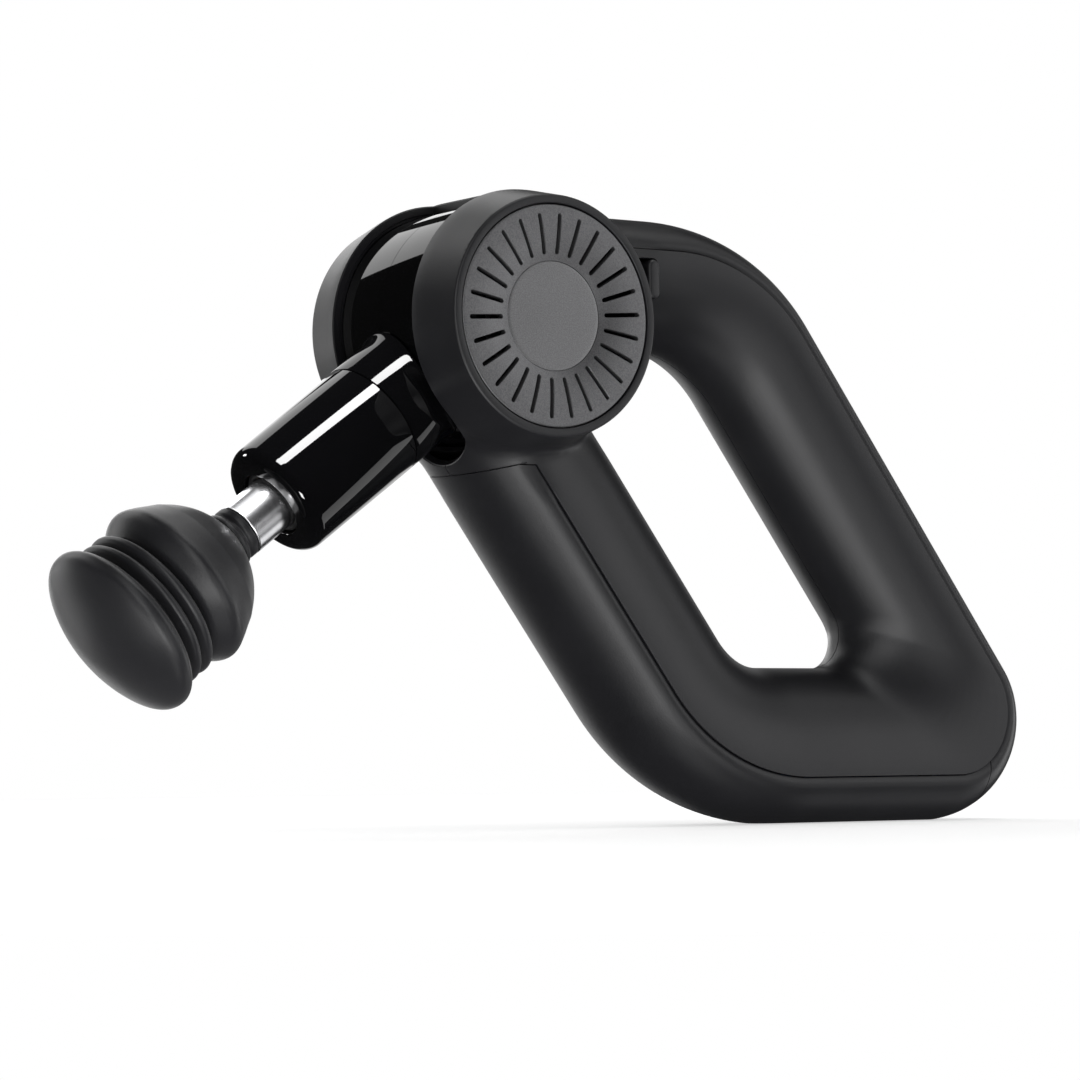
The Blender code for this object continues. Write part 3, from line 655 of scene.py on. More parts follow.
def front_zone(grow=0.0):
    """Everything that the front grip covers: the front bar and the base up to the split."""
    split = BAND_SPLIT_X + grow
    corners = [(-AHEAD, -AHEAD), (split, -AHEAD), (split, -110.0), (60.0, front_seam(60.0, grow)),
               (-AHEAD, front_seam(-AHEAD, grow))]
    return prism("cutter", corners, -FAR, FAR, RIGHT)


def arm_travel(radius, length):
    """Space in front of the hub that the arm needs: round at the low end, square at the top."""
    low, high = groove_turns()
    points = [(length * cos(low + (high - low) * step / 96), length * sin(low + (high - low) * step / 96))
              for step in range(97)]
    swept = prism("cutter", [(0.0, 0.0)] + points, -radius, radius, RIGHT)
    lowered = HUB @ Matrix.Rotation(-radians(GROOVE_LOW), 4, "Y") @ HUB.inverted() @ ARM
    end = [(0, 0), (radius - 0.02, 0), (radius - 0.02, length), (0, length)]
    return fuse(swept, turned("low_end", end, lowered, 96))


def seam_coves():
    """Two thin bars along the seam between band and side shells, stopping short of the hub."""
    seam = outline(SEAM_LINES, SEAM_RADII, GAP / 2)
    bars = None
    for y in (HALF_THICK, -HALF_THICK):
        points = [HUB @ (Vector((spot.x, y, spot.y)) * MM) for spot in seam]
        upright = [Vector((0.0, 1.0, 0.0))] * len(points)
        made = round_bar("cove", points, upright, SEAM_COVE)
        bars = fuse(bars, made) if bars else made
    return cut(bars, hub_cylinder(HUB_ZONE_R), corner_disc())


def base_cutter():
    place = Matrix.Translation(Vector((0.0, 0.0, -10.0)) * MM)
    return block("cutter", (-300, -100, -10), (300, 100, 10), place)


def hub_cavity():
    """Everything that is empty inside one half of the hub, with the seat and rim of the cap."""
    profile = [
        (0, -1.0), (BARREL_IN, -1.0), (BARREL_IN, WEB_Y - 0.4), (BARREL_IN - 0.4, WEB_Y), (BEARING_R, WEB_Y),
        (BEARING_R, WEB_Y + WEB_THICK), (BARREL_IN - 1.4, WEB_Y + WEB_THICK), (RIM_IN, SEAT_Y - 3.2),
        (SEAT_IN, SEAT_Y - 1.6), (SEAT_IN, SEAT_Y), (RIM_IN, SEAT_Y)]
    profile += [(RIM_IN, RIM_Y - 0.3)] + arc((RIM_IN + 0.3, RIM_Y - 0.3), 0.3, 180, 90, 4)[1:]
    bend = arc((RIM_R - 0.65, RIM_Y - 0.95), 0.95, 90, 12, 8)
    return profile + bend + [(80.0, bend[-1][1] - 0.05), (80.0, 60.0), (0, 60.0)]


def make_shell(name, place, side, body, hollow, coves, edges):
    shell = duplicate(body, name)
    combine(shell, "INTERSECT", block("half", (-400, -400, GAP / 2), (400, 400, FAR), place))
    cut(shell, base_cutter())
    band_zone = seam_prism(200.0, 70.0)
    cut(band_zone, seam_prism(0.0, 80.0), hub_cylinder(HUB_ZONE_R))
    cut(band_zone, front_block(), corner_fill(FRONT_SEAM_R))
    cut(shell, band_zone, duplicate(hollow, "hollow"))
    cut(shell, turned("cavity", hub_cavity(), place, 192))
    cut(shell, arm_travel(GROOVE_HALF, 70.0))
    cut(shell, duplicate(coves, "cove"))
    for edge in edges:
        cut(shell, duplicate(edge, "edge"))
    if side == "right":
        cut(shell, lock_window())
    return shell


def upright_pad(length, width, radius):
    """Upright rectangle with rounded corners, as points around its middle."""
    points = []
    for side_x, side_z, start in ((1, -1, -90.0), (1, 1, 0.0), (-1, 1, 90.0), (-1, -1, 180.0)):
        centre = (side_x * (width / 2 - radius), side_z * (length / 2 - radius))
        points += arc(centre, radius, start, start + 90.0, 8)
    return points


def lock_window():
    """Recess in the side panel in which the lock slider travels."""
    across = LOCK_WIDTH + 2 * GAP + LOCK_TRAVEL
    rings = []
    for grow, height in ((0.0, LOCK_PLATE_Y + 0.4), (0.0, HALF_THICK - 0.35), (0.5, HALF_THICK + 0.2)):
        pad = upright_pad(LOCK_LENGTH + 2 * (GAP + grow), across + 2 * grow, LOCK_WIDTH / 2 + GAP + grow)
        rings.append(level(pad, height))
    return loft("window", rings, on_right(LOCK_X - LOCK_TRAVEL / 2, LOCK_Z))


def make_bands(body, hollow, grip):
    whole = duplicate(body, "front_grip_finish")
    cut(whole, seam_prism(GAP, 80.0), base_cutter())
    cut(whole, hub_cylinder(HUB_ZONE_R + GAP), duplicate(hollow, "hollow"))
    rear = duplicate(whole, "rear_band_finish")
    combine(whole, "INTERSECT", front_zone(-GAP / 2))
    cut(rear, front_zone(GAP / 2), front_block(GAP))
    cut(whole, corner_fill(FRONT_SEAM_R - GAP), duplicate(grip, "edge"))
    opening = prism("panel", stadium(PANEL_LENGTH + 2 * GAP, PANEL_WIDTH + 2 * GAP), -9, 9, PANEL)
    port = prism("port", stadium(9.6, 4.4), -9, 9, PORT)
    cut(rear, opening, port)
    return whole, rear


def make_housing():
    body = make_body(False)
    hollow = cut(handle_solid("hollow", WALL), hub_cylinder(BARREL_R - 1.0))
    coves = seam_coves()
    groove = round_bar("groove_edge", *groove_edge(body), EDGE_COVE)
    grip = round_bar("grip_edge", *grip_edge(body), SEAM_COVE)
    cut(grip, seam_prism(0.0, 80.0), corner_disc())
    for side, place in SIDES:
        shell = make_shell(side + "_shell_finish", place, side, body, hollow, coves, (groove, grip))
        finish_piece(shell, "housing", side + "_shell", 28.0)
    band_body = make_body(True)
    front, rear = make_bands(band_body, hollow, grip)
    finish_piece(front, "housing", "front_grip_band", 28.0)
    finish_piece(rear, "housing", "rear_band", 28.0)
    remove(body, band_body, hollow, coves, groove, grip)


# --- caps

def dish(radius):
    """Height of the cap's dished face at a radius, steepest beside the disc."""
    share = min(max((radius - DISC_R) / (CAP_R - 2.0 - DISC_R), 0.0), 1.0)
    return RIM_Y - 0.3 - CAP_DISH * (1.0 - share) ** 2.6


def slot_cutter(place):
    """All ventilation slots as one object: straight below, opened out where they meet the dished face."""
    shape = bmesh.new()
    middle = (SLOT_IN + SLOT_OUT) / 2
    for index in range(SLOT_COUNT):
        turn = Matrix.Rotation(radians(SLOT_PHASE) + tau * index / SLOT_COUNT, 4, "Z")
        rings = []
        for grow, rise in ((0.0, None), (0.0, -0.12), (0.1, 0.01), (0.2, 3.0)):
            ring = []
            width = SLOT_WIDTH + 2 * grow
            for x, y in stadium(SLOT_OUT - SLOT_IN + width, width, 8, (middle, 0)):
                height = SLOT_FLOOR if rise is None else dish(hypot(x, y)) + rise
                ring.append(turn @ Vector((x, y, height)))
            rings.append(ring)
        skin_rings(shape, rings)
    return add_object("slots", shape, place)


def make_caps():
    low = RIM_Y - 0.3 - CAP_DISH
    radii = [DISC_R + 0.12 + (CAP_R - 0.47 - DISC_R) * step / 28 for step in range(29)]
    face = [(radius, dish(radius)) for radius in radii]
    pocket = low - DISC_DEPTH
    profile = [(0, pocket), (DISC_R + GAP, pocket), (DISC_R + GAP, low - 0.6), (radii[0], low - 0.4)] + face
    profile += arc((CAP_R - 0.35, RIM_Y - 0.65), 0.35, 90, 0, 5)[1:]
    profile += [(CAP_R, SEAT_Y + 0.2), (26.0, SEAT_Y + 0.2), (21.0, low - CAP_THICK + 1.0),
                (DISC_R, low - CAP_THICK), (0, low - CAP_THICK)]
    disc = [(0, pocket + GAP), (DISC_R, pocket + GAP), (DISC_R, low - 0.12)]
    disc += arc((DISC_R - 0.12, low - 0.12), 0.12, 0, 90, 4)[1:] + [(DISC_R - 1.0, low), (0, low)]
    for side, place in SIDES:
        cap = turned(side + "_vent_cap_finish", profile, place, SLOT_COUNT * 8)
        cut(cap, slot_cutter(place))
        finish_piece(cap, "housing", side + "_vent_cap", 24.0)
        finish_piece(turned(side + "_cap_disc_finish", disc, place, 128), "housing", side + "_cap_disc", 24.0)


# --- lock slider and control panel

def make_lock_slider():
    """Thumb pill on a plate behind the side panel."""
    place = on_right(LOCK_X, LOCK_Z)
    rings = []
    inset = 0.0
    for step in range(-1, 7):
        height = LOCK_PLATE_Y - 0.4
        if step >= 0:
            angle = radians(90.0 * step / 6)
            inset = 1.1 * (1.0 - cos(angle))
            height = HALF_THICK + 0.1 + 1.1 * sin(angle)
        pad = upright_pad(LOCK_LENGTH - 2 * inset, LOCK_WIDTH - 2 * inset, LOCK_WIDTH / 2 - inset)
        rings.append(level(pad, height))
    slider = loft("lock_slider_finish", rings, place)
    fuse(slider, block("plate", (-2.6, -7.8, LOCK_PLATE_Y - 2.6), (7.0, 7.8, LOCK_PLATE_Y), place))
    finish_piece(slider, "lock", "lock_slider", 35.0)


def button_mark(name, centre):
    """Generic sunken mark of a key: minus, plus or power."""
    across = [(x + centre, y) for y, x in stadium(2.8, 0.5, 6)]
    shapes = [across]
    if name == "plus_button":
        shapes.append(stadium(2.8, 0.5, 6, (centre, 0.0)))
    if name == "power_button":
        ring = []
        for radius, angles in ((1.9, range(40, 321, 10)), (1.45, range(320, 39, -10))):
            for angle in angles:
                turn = radians(angle + 180.0)
                ring.append((centre + radius * cos(turn), radius * sin(turn)))
        shapes = [ring, stadium(1.7, 0.45, 6, (centre - 1.5, 0.0))]
    return [prism("mark", shape, MARK_LOW, 2.0, PANEL) for shape in shapes]


def make_control_panel():
    bezel = rounded_pill("control_bezel_finish", PANEL_LENGTH, PANEL_WIDTH, -3.2, -0.2, 0.5, PANEL)
    window = (-15.0, 0.0)
    rings = [level(stadium(25.0 + 2 * grow, 11.0 + 2 * grow, 16, window), height)
             for grow, height in ((0.0, -5.0), (0.0, -0.45), (0.3, -0.15), (0.3, 2.0))]
    cut(bezel, loft("window", rings, PANEL))
    glass = rounded_pill(
        "display_window_finish", 25.0 - 2 * GAP, 11.0 - 2 * GAP, -2.8, -0.5, 0.3, PANEL, window)
    for name, centre, radius in BUTTONS:
        place = PANEL @ Matrix.Translation(Vector((centre, 0.0, 0.0)) * MM)
        inner = radius + GAP
        hole = [(0, -5.0), (inner, -5.0), (inner, -0.45), (inner + 0.3, -0.15), (inner + 0.3, 2.0), (0, 2.0)]
        cut(bezel, turned("hole", hole, place, 64))
        key = [(0, FOOT_LOW), (1.6, FOOT_LOW), (1.6, -5.4), (radius, -5.4)]
        key += arc((radius - 0.6, -0.1), 0.6, 0, 90, 6) + [(radius * 0.5, 0.44), (0, 0.4)]
        made = turned(name + "_finish", key, place, 64)
        cut(made, *button_mark(name, centre))
        finish_piece(made, name.replace("_button", "_key"), name, 28.0)
    finish_piece(bezel, "housing", "control_bezel", 30.0)
    finish_piece(glass, "housing", "display_window", 30.0)


def make_charge_port():
    port = rounded_pill("charge_port_finish", 9.0, 3.8, -8.0, -0.8, 0.25, PORT)
    cut(port, prism("mouth", stadium(8.2, 3.0), -7.2, 1.0, PORT))
    fuse(port, block("tongue", (-2.8, -0.4, -7.5), (2.8, 0.4, -2.2), PORT))
    finish_piece(port, "housing", "charge_port", 30.0)


# --- arm

def make_drum():
    """Two drum halves with their trunnions, open towards the arm, with a fine parting line."""
    rim_in = DRUM_R - DRUM_WALL
    web = DRUM_Y - DRUM_WALL
    profile = [(rim_in, 0.06), (DRUM_R - 0.04, 0.06), (DRUM_R, 0.1)]
    profile += arc((DRUM_R - 0.5, DRUM_Y - 0.5), 0.5, 0, 90, 6)
    profile += [(TRUNNION_R + 0.4, DRUM_Y), (TRUNNION_R, DRUM_Y + 0.4), (TRUNNION_R, TRUNNION_Y - 0.4),
                (TRUNNION_R - 0.4, TRUNNION_Y), (TRUNNION_IN, TRUNNION_Y), (TRUNNION_IN, web), (rim_in, web)]
    for side, place in SIDES:
        half = turned(side + "_drum_half_finish", profile, place, 256)
        cut(half, turned("way", [(0, 15.0), (12.0, 15.0), (12.0, 60.0), (0, 60.0)], ARM, 64))
        finish_piece(half, "arm", side + "_drum_half", 24.0)


def make_neck():
    """Collar that flares onto the drum and ends square against the sleeve."""
    flare_height = 4.5
    outside = DRUM_R + GAP
    shapes = []
    for step in range(9):
        angle = radians(90.0 * step / 8)
        shapes.append((ARM_R + NECK_FLARE * (1.0 - sin(angle)), flare_height * (1.0 - cos(angle))))
    angles = [tau * step / 160 for step in range(160)]

    def circle(radius):
        return [(radius * cos(angle), radius * sin(angle)) for angle in angles]

    def on_drum(radius, lift):
        return [(x, y, sqrt(outside ** 2 - x ** 2) + lift) for x, y in circle(radius)]

    rings = [on_drum(12.0, 0.0), on_drum(ARM_R + NECK_FLARE - 0.25, 0.0)]
    rings += [on_drum(radius, lift + 0.25) for radius, lift in shapes]
    for radius, along in ((ARM_R, NECK_END - 0.25), (ARM_R - 0.07, NECK_END - 0.07),
                          (ARM_R - 0.25, NECK_END), (12.0, NECK_END)):
        rings.append(level(circle(radius), along))
    neck = loft("arm_neck_finish", rings, ARM, cyclic=True)
    finish_piece(neck, "arm", "arm_neck", 40.0)


def make_sleeve():
    inner = ARM_R - SLEEVE_WALL
    round_r = 4.2
    profile = [(inner, SLEEVE_START), (ARM_R - 0.25, SLEEVE_START),
               (ARM_R - 0.07, SLEEVE_START + 0.07), (ARM_R, SLEEVE_START + 0.25)]
    profile += arc((ARM_NOSE_R - round_r, SLEEVE_END - round_r), round_r, 0, 84, 16)
    profile += [(MOUTH_R + 0.5, SLEEVE_END - 0.05)]
    profile += arc((MOUTH_R + 0.5, SLEEVE_END - 0.55), 0.5, 90, 180, 5)
    profile += [(MOUTH_R, SLEEVE_END - 3.2), (inner, SLEEVE_END - 3.2)]
    finish_turned("arm_sleeve", "arm", profile, 192)
    inner = SOCKET_R + GAP
    lip = [(inner, SLEEVE_END - 3.2), (MOUTH_R - 0.2, SLEEVE_END - 3.2), (MOUTH_R - 0.2, SLEEVE_END - 1.8)]
    lip += [(MOUTH_R - 0.5, SLEEVE_END - 1.4), (inner + 0.5, SLEEVE_END - 1.2), (inner, SLEEVE_END - 1.6)]
    finish_turned("wiper_seal", "arm", lip, 128)


def make_socket():
    profile = [(0, 53.0), (BORE_R, 53.0), (BORE_R, SOCKET_START), (SOCKET_R - 0.3, SOCKET_START)]
    profile += [(SOCKET_R, SOCKET_START + 0.3), (SOCKET_R, SOCKET_END - 0.5)]
    profile += arc((SOCKET_R - 0.5, SOCKET_END - 0.5), 0.5, 0, 90, 6)[1:]
    profile += [(BORE_R + 0.3, SOCKET_END), (BORE_R, SOCKET_END - 0.3), (BORE_R, 72.0), (0, 72.0)]
    finish_turned("chrome_socket", "piston", profile, 160)


# --- massage head

def make_head():
    stem = [(0, 74.0), (STEM_R - 0.5, 74.0), (STEM_R, 74.5), (STEM_R, SOCKET_END + GAP),
            (7.6, SOCKET_END + GAP), (7.8, SOCKET_END + GAP + 0.2), (7.8, 103.6)]
    stem += smooth_curve([(7.8, 103.6), (7.5, 104.0), (7.1, 104.5), (7.3, 105.0), (8.0, 105.4),
                          (8.45, 106.1), (8.6, 107.0)], 4)[1:]
    stem += [(8.5, 107.2), (5.6, 107.2), (5.6, 118.0), (0, 118.0)]
    finish_turned("head_stem", "head", stem, 128)
    cup = [(5.9, 107.5), (8.6, 107.5)]
    cup += smooth_curve([(8.8, 107.6), (12.4, 109.7), (15.5, 112.0), (18.4, 115.0), (20.9, 118.4)], 6)
    cup += smooth_curve([(20.9, 118.4), (22.1, 120.8), (23.2, 122.9), (24.1, 124.8), (24.7, 126.3),
                         (24.85, 127.7), (24.3, 129.2), (23.1, 130.8), (21.6, 132.4), (20.2, 133.4)], 5)[1:]
    cup += [(5.9, 133.4)]
    finish_turned("head_cup", "head", cup, 160)
    ribs = [(18.6, 133.8), (19.0, 134.4)]
    for low in (135.6, 139.9):
        ribs += [(22.3, low), (23.0, low + 1.1), (22.3, low + 2.3), (19.6, low + 3.15)]
    ribs += [(20.3, 144.0)]
    bellows = [(0, 133.7)] + smooth_curve(ribs, 6) + [(0, 144.2)]
    finish_turned("head_bellows", "head", bellows, 160, 60.0)
    face = smooth_curve([(20.5, 144.5), (23.8, 145.3), (25.5, 146.7), (25.9, 148.3), (25.2, 150.3),
                         (22.8, 152.2), (18.0, 154.6), (12.5, 156.4), (6.5, 157.6), (0, 158.0)], 6)
    finish_turned("head_dome", "head", [(0, 144.5)] + face, 160, 60.0)


# --- materials

FINISHES = {}
GLOSS_NODES = ("left_drum_half", "right_drum_half", "arm_neck", "arm_sleeve", "control_bezel", "display_window")
MATT_PIECES, GLOSS_PIECES, SLEEVE_PIECES, METAL_PIECES = (
    bpy.data.collections.new(kind + "_pieces") for kind in ("matt", "gloss", "sleeve", "metal"))


def set_inputs(node, values):
    for key, value in values.items():
        node.inputs[key].default_value = value
    return node


class Nodes:
    """Short helper for building one material's node tree."""

    def __init__(self, name):
        self.material = bpy.data.materials.new(name)
        self.material.use_nodes = True
        self.tree = self.material.node_tree
        self.shader = self.tree.nodes["Principled BSDF"]
        self.place = self.add("ShaderNodeTexCoord").outputs["Object"]

    def add(self, kind, **settings):
        node = self.tree.nodes.new(kind)
        for key, value in settings.items():
            setattr(node, key, value)
        return node

    def link(self, output, target):
        self.tree.links.new(output, target)

    def noise(self, scale, detail=2.0, stretch=(1, 1, 1), turn=(0, 0, 0)):
        mapping = set_inputs(self.add("ShaderNodeMapping"), {"Scale": stretch, "Rotation": turn})
        self.link(self.place, mapping.inputs["Vector"])
        noise = set_inputs(self.add("ShaderNodeTexNoise"), {"Scale": scale, "Detail": detail})
        self.link(mapping.outputs[0], noise.inputs["Vector"])
        return noise.outputs["Fac"]

    def spread(self, source, low, high):
        """Map a 0.3 to 0.7 noise value to a range."""
        ends = {"From Min": 0.3, "From Max": 0.7, "To Min": low, "To Max": high}
        ranged = set_inputs(self.add("ShaderNodeMapRange"), ends)
        self.link(source, ranged.inputs["Value"])
        return ranged.outputs["Result"]

    def tint(self, source, dark, light):
        """Mix two colours by a value."""
        colours = {6: (*dark, 1.0), 7: (*light, 1.0)}
        mix = set_inputs(self.add("ShaderNodeMix", data_type="RGBA"), colours)
        self.link(source, mix.inputs[0])
        return mix.outputs[2]

    def bump(self, source, strength, distance):
        bump = set_inputs(self.add("ShaderNodeBump"), {"Strength": strength, "Distance": distance})
        self.link(source, bump.inputs["Height"])
        return bump.outputs["Normal"]


def finish(name, colour, roughness, metallic=0.0, coat=0.0, grain=2600.0, grain_depth=0.25,
           mottle=0.12, rough_spread=0.12, sheen=0.0, stretch=(1, 1, 1), turn=(0, 0, 0), speckle=0.25):
    """Procedural finish: fine grain in bump and roughness, and slow drift of colour and roughness."""
    nodes = Nodes(name)
    shader = nodes.shader.inputs
    set_inputs(nodes.shader, {"Metallic": metallic, "Coat Weight": coat, "Coat Roughness": 0.03,
                              "Sheen Weight": sheen, "Sheen Roughness": 0.4})
    fine = nodes.noise(grain, 3.0, stretch, turn)
    slow = nodes.noise(38.0, 3.0)
    dark = tuple(value * (1.0 - mottle) for value in colour)
    light = tuple(value * (1.0 + mottle) for value in colour)
    drift = nodes.add("ShaderNodeMath", operation="ADD")
    nodes.link(nodes.spread(slow, 0.0, 1.0 - speckle), drift.inputs[0])
    nodes.link(nodes.spread(fine, 0.0, speckle), drift.inputs[1])
    nodes.link(nodes.tint(drift.outputs[0], dark, light), shader["Base Color"])
    rough = nodes.add("ShaderNodeMath", operation="ADD")
    low = roughness * (1.0 - rough_spread) * 0.5
    high = roughness * (1.0 + rough_spread) * 0.5
    for index, source in enumerate((fine, slow)):
        nodes.link(nodes.spread(source, low, high), rough.inputs[index])
    nodes.link(rough.outputs[0], shader["Roughness"])
    nodes.link(nodes.bump(fine, grain_depth, 0.00006), shader["Normal"])
    return nodes.material


def make_finishes():
    shell = dict(colour=(0.0105, 0.0105, 0.0122), roughness=0.36, grain=3000.0, grain_depth=0.35)
    grip = dict(colour=(0.009, 0.009, 0.0106), roughness=0.36, grain=2400.0, grain_depth=0.5)
    gloss = dict(colour=(0.0025, 0.0025, 0.003), roughness=0.035, coat=0.6, grain=90.0,
                 grain_depth=0.01, rough_spread=0.3)
    rubber = dict(colour=(0.0125, 0.0125, 0.0145), roughness=0.36, grain=2000.0, grain_depth=0.4, sheen=0.15)
    cap = dict(colour=(0.15, 0.15, 0.155), roughness=0.33, metallic=0.75, grain=3000.0, grain_depth=0.4,
               mottle=0.3, speckle=0.8)
    steel = dict(colour=(0.55, 0.55, 0.57), roughness=0.3, metallic=1.0, grain=900.0,
                 stretch=(1, 12, 1), grain_depth=0.3)
    key = dict(shell, colour=(0.03, 0.03, 0.032))
    disc = dict(cap, colour=(0.19, 0.19, 0.195), roughness=0.33)
    bearing = dict(colour=(0.6, 0.58, 0.52), roughness=0.45, grain=1200.0)
    holder = dict(colour=(0.05, 0.05, 0.05), roughness=0.55, grain=1300.0)
    cell = dict(colour=(0.02, 0.12, 0.32), roughness=0.3, grain=400.0, grain_depth=0.5, coat=0.3)
    looks = (
        (shell, "left_shell right_shell lock_slider"),
        (grip, "front_grip_band rear_band"),
        (cap, "left_vent_cap right_vent_cap"),
        (disc, "left_cap_disc right_cap_disc"),
        (gloss, "left_drum_half right_drum_half arm_neck arm_sleeve control_bezel"),
        (dict(gloss, colour=(0.004, 0.005, 0.008), coat=1.0), "display_window"),
        (key, "minus_button power_button plus_button"),
        (rubber, "head_stem head_cup head_bellows head_dome"),
        (dict(colour=(0.8, 0.8, 0.82), roughness=0.24, metallic=1.0, grain=700.0,
              stretch=(1, 1, 6), turn=(0, 0.93, 0), grain_depth=0.04), "chrome_socket"),
        (dict(colour=(0.012, 0.012, 0.012), roughness=0.6, grain=1500.0), "wiper_seal"),
        (steel, "charge_port detent_leaf lock_leaf_spring index_plate"),
        (dict(steel, roughness=0.2), "motor_bearing"),
        (dict(steel, roughness=0.18), "motor_shaft"),
        (dict(steel, roughness=0.16), "crank_roller"),
        (dict(steel, colour=(0.42, 0.42, 0.44)), "drive_yoke"),
        (dict(steel, colour=(0.35, 0.35, 0.37)), "crank_disc"),
        (dict(steel, colour=(0.3, 0.3, 0.32)), "rotor_can"),
        (bearing, "left_hub_bearing right_hub_bearing"),
        (dict(colour=(0.5, 0.5, 0.52), roughness=0.34, metallic=1.0, grain=800.0), "bush_carrier"),
        (dict(colour=(0.55, 0.34, 0.13), roughness=0.36, metallic=1.0, grain=1400.0), "linear_bush"),
        (dict(colour=(0.3, 0.3, 0.32), roughness=0.42, metallic=0.9, grain=2600.0, stretch=(1, 30, 1)),
         "motor_stator"),
        (dict(colour=(0.58, 0.2, 0.06), roughness=0.28, metallic=1.0, grain=1500.0,
              stretch=(1, 8, 1), grain_depth=0.9, mottle=0.3), "stator_winding"),
        (dict(colour=(0.01, 0.09, 0.04), roughness=0.38, grain=900.0, mottle=0.45), "control_board"),
        (holder, "upper_cell_holder middle_cell_holder base_cell_holder_front base_cell_holder_rear"),
        (cell, "battery_cell_1 battery_cell_2 battery_cell_3 battery_cell_4"))
    for look, names in looks:
        for name in names.split():
            FINISHES[name] = finish(name + "_look", **look)


def light_piece(piece, node):
    """Put a piece in the light sets for its finish. The chrome socket takes all of them."""
    bright = node == "chrome_socket"
    gloss = node in GLOSS_NODES
    sleeve = node in ("arm_sleeve", "arm_neck")
    for pieces, wanted in ((MATT_PIECES, not gloss), (GLOSS_PIECES, gloss or bright),
                           (SLEEVE_PIECES, sleeve or bright), (METAL_PIECES, bright)):
        if wanted:
            pieces.objects.link(piece)


def finish_piece(piece, body, node, sharp):
    """Shade a piece, smooth below an angle in degrees, and let it stand for its CAD node."""
    piece.data.shade_smooth()
    piece.data.set_sharp_from_angle(angle=radians(sharp))
    piece.data.materials.clear()
    piece.data.materials.append(FINISHES[node])
    light_piece(piece, node)
    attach(piece, body)
    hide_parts(node)


def finish_turned(node, body, profile, segments, sharp=40.0):
    """A finished piece spun about the arm axis."""
    finish_piece(turned(node + "_finish", profile, ARM, segments), body, node, sharp)


def dress_inner_nodes():
    """Give every CAD node that stays in view its own procedural finish."""
    for name, node in frame["nodes"].items():
        node.data.materials.clear()
        node.data.materials.append(FINISHES[name])
        light_piece(node, name)


# --- camera, floor and light

def seen_from(azimuth, elevation):
    """Direction towards a viewer at an azimuth from the front, -Y, and an elevation."""
    return Vector((sin(azimuth) * cos(elevation), -cos(azimuth) * cos(elevation),
                   sin(elevation)))


def softbox(name, direction, distance, size, radiance, target, pieces, along=None):
    """Rectangular light that faces a target from a direction and acts on some pieces only."""
    lamp = bpy.data.lights.new(name, "AREA")
    lamp.shape = "RECTANGLE"
    lamp.size = size[0]
    lamp.size_y = size[1]
    lamp.energy = radiance * pi * size[0] * size[1]
    thing = in_scene(bpy.data.objects.new(name, lamp))
    spot = target + direction.normalized() * distance
    back = (spot - target).normalized()
    across = along if along else Vector((0, 0, 1)).cross(back)
    across = (across - back * across.dot(back)).normalized()
    thing.matrix_world = Matrix.Translation(spot) @ turned_to(across, back.cross(across), back)
    thing.light_linking.receiver_collection = pieces


def make_camera():
    """Camera in front of the head side, a little above the floor and looking slightly up."""
    azimuth, elevation, roll = (radians(angle) for angle in CAMERA_ANGLES)
    back = seen_from(azimuth, elevation)
    flat = Vector((cos(azimuth), sin(azimuth), 0.0))
    rise = back.cross(flat)
    right = cos(roll) * flat + sin(roll) * rise
    up = cos(roll) * rise - sin(roll) * flat
    data = bpy.data.cameras.new("camera")
    data.lens = LENS
    data.sensor_width = 36.0
    data.clip_start = 0.05
    data.clip_end = 100.0
    camera = in_scene(bpy.data.objects.new("camera", data))
    spot = HUB.translation + Vector((0.0, CAMERA_AIM_Y, 0.0))
    for shift, direction in zip(CAMERA_SHIFT, (right, up, back)):
        spot = spot + shift * direction
    camera.matrix_world = Matrix.Translation(spot) @ turned_to(right, up, back)
    bpy.context.scene.camera = camera
    return right, up, back


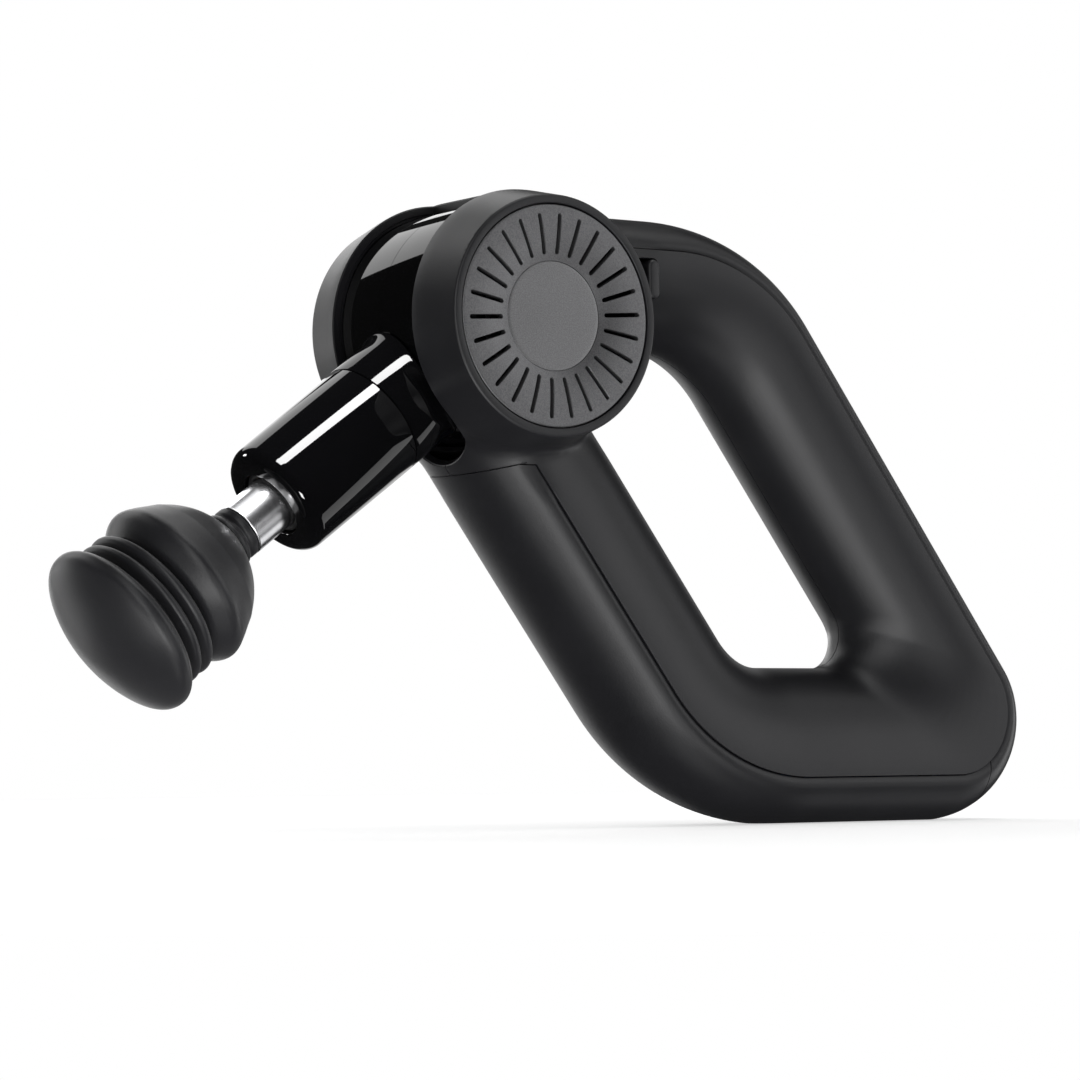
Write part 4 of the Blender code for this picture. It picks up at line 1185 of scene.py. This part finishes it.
def make_world():
    """White backdrop for the eye, and dim even light for everything else."""
    world = bpy.data.worlds.new("studio")
    bpy.context.scene.world = world
    world.use_nodes = True
    tree = world.node_tree
    backdrop = set_inputs(tree.nodes["Background"], {"Color": WHITE, "Strength": 1.0})
    dim = set_inputs(tree.nodes.new("ShaderNodeBackground"), {"Color": WHITE, "Strength": FILL_LIGHT})
    path = tree.nodes.new("ShaderNodeLightPath")
    mix = tree.nodes.new("ShaderNodeMixShader")
    tree.links.new(path.outputs["Is Camera Ray"], mix.inputs[0])
    tree.links.new(dim.outputs[0], mix.inputs[1])
    tree.links.new(backdrop.outputs[0], mix.inputs[2])
    tree.links.new(mix.outputs[0], tree.nodes["World Output"].inputs["Surface"])
    bpy.context.scene.view_settings.view_transform = "Standard"


def make_floor():
    shape = bmesh.new()
    bmesh.ops.create_circle(shape, cap_ends=True, segments=96, radius=FLOOR_R)
    floor = add_object("studio_floor", shape, Matrix.Translation((0.0, 0.0, -0.0001)))
    paint = finish("floor_paint", (0.86, 0.86, 0.86), 0.7, grain=60.0, grain_depth=0.02, mottle=0.01)
    glow = {"Emission Color": WHITE, "Emission Strength": FLOOR_GLOW}
    set_inputs(paint.node_tree.nodes["Principled BSDF"], glow)
    floor.data.materials.append(paint)
    floor.visible_glossy = False
    floor.visible_shadow = False
    MATT_PIECES.objects.link(floor)


def make_lights(right, up, back):
    """Soft boxes around the object, in sets for its matt pieces, its gloss pieces and its bright metal."""
    middle = Vector(LIGHTS_MIDDLE)
    facing = atan2(back.x, -back.y)
    matt_boxes = [(*box, SOFTBOX_SIZE) for box in SOFTBOXES]
    for label, pieces, boxes in (("matt", MATT_PIECES, matt_boxes), ("gloss", GLOSS_PIECES, GLOSS_BOXES),
                                 ("sleeve", SLEEVE_PIECES, SLEEVE_BOXES), ("metal", METAL_PIECES, METAL_BOXES)):
        for number, (elevation, azimuth, radiance, size) in enumerate(boxes, 1):
            direction = seen_from(facing + radians(azimuth), radians(elevation))
            softbox("%s_box_%d" % (label, number), direction, SOFTBOX_AWAY, (size, size),
                    radiance, middle, pieces)
    sleeve = ARM @ Vector((0.0, 0.0, STRIP_AT * MM))
    along_arm = ARM.to_3x3().col[2].copy()
    strip = STRIP_DIRECTION[0] * right + STRIP_DIRECTION[1] * up + STRIP_DIRECTION[2] * back
    softbox("sleeve_strip", strip, STRIP_AWAY, STRIP_SIZE, STRIP_RADIANCE, sleeve, SLEEVE_PIECES, along_arm)


# --- build


make_finishes()
dress_inner_nodes()
make_housing()
make_caps()
make_lock_slider()
make_control_panel()
make_charge_port()
make_drum()
make_neck()
make_sleeve()
make_socket()
make_head()
make_floor()
make_world()
make_lights(*make_camera())
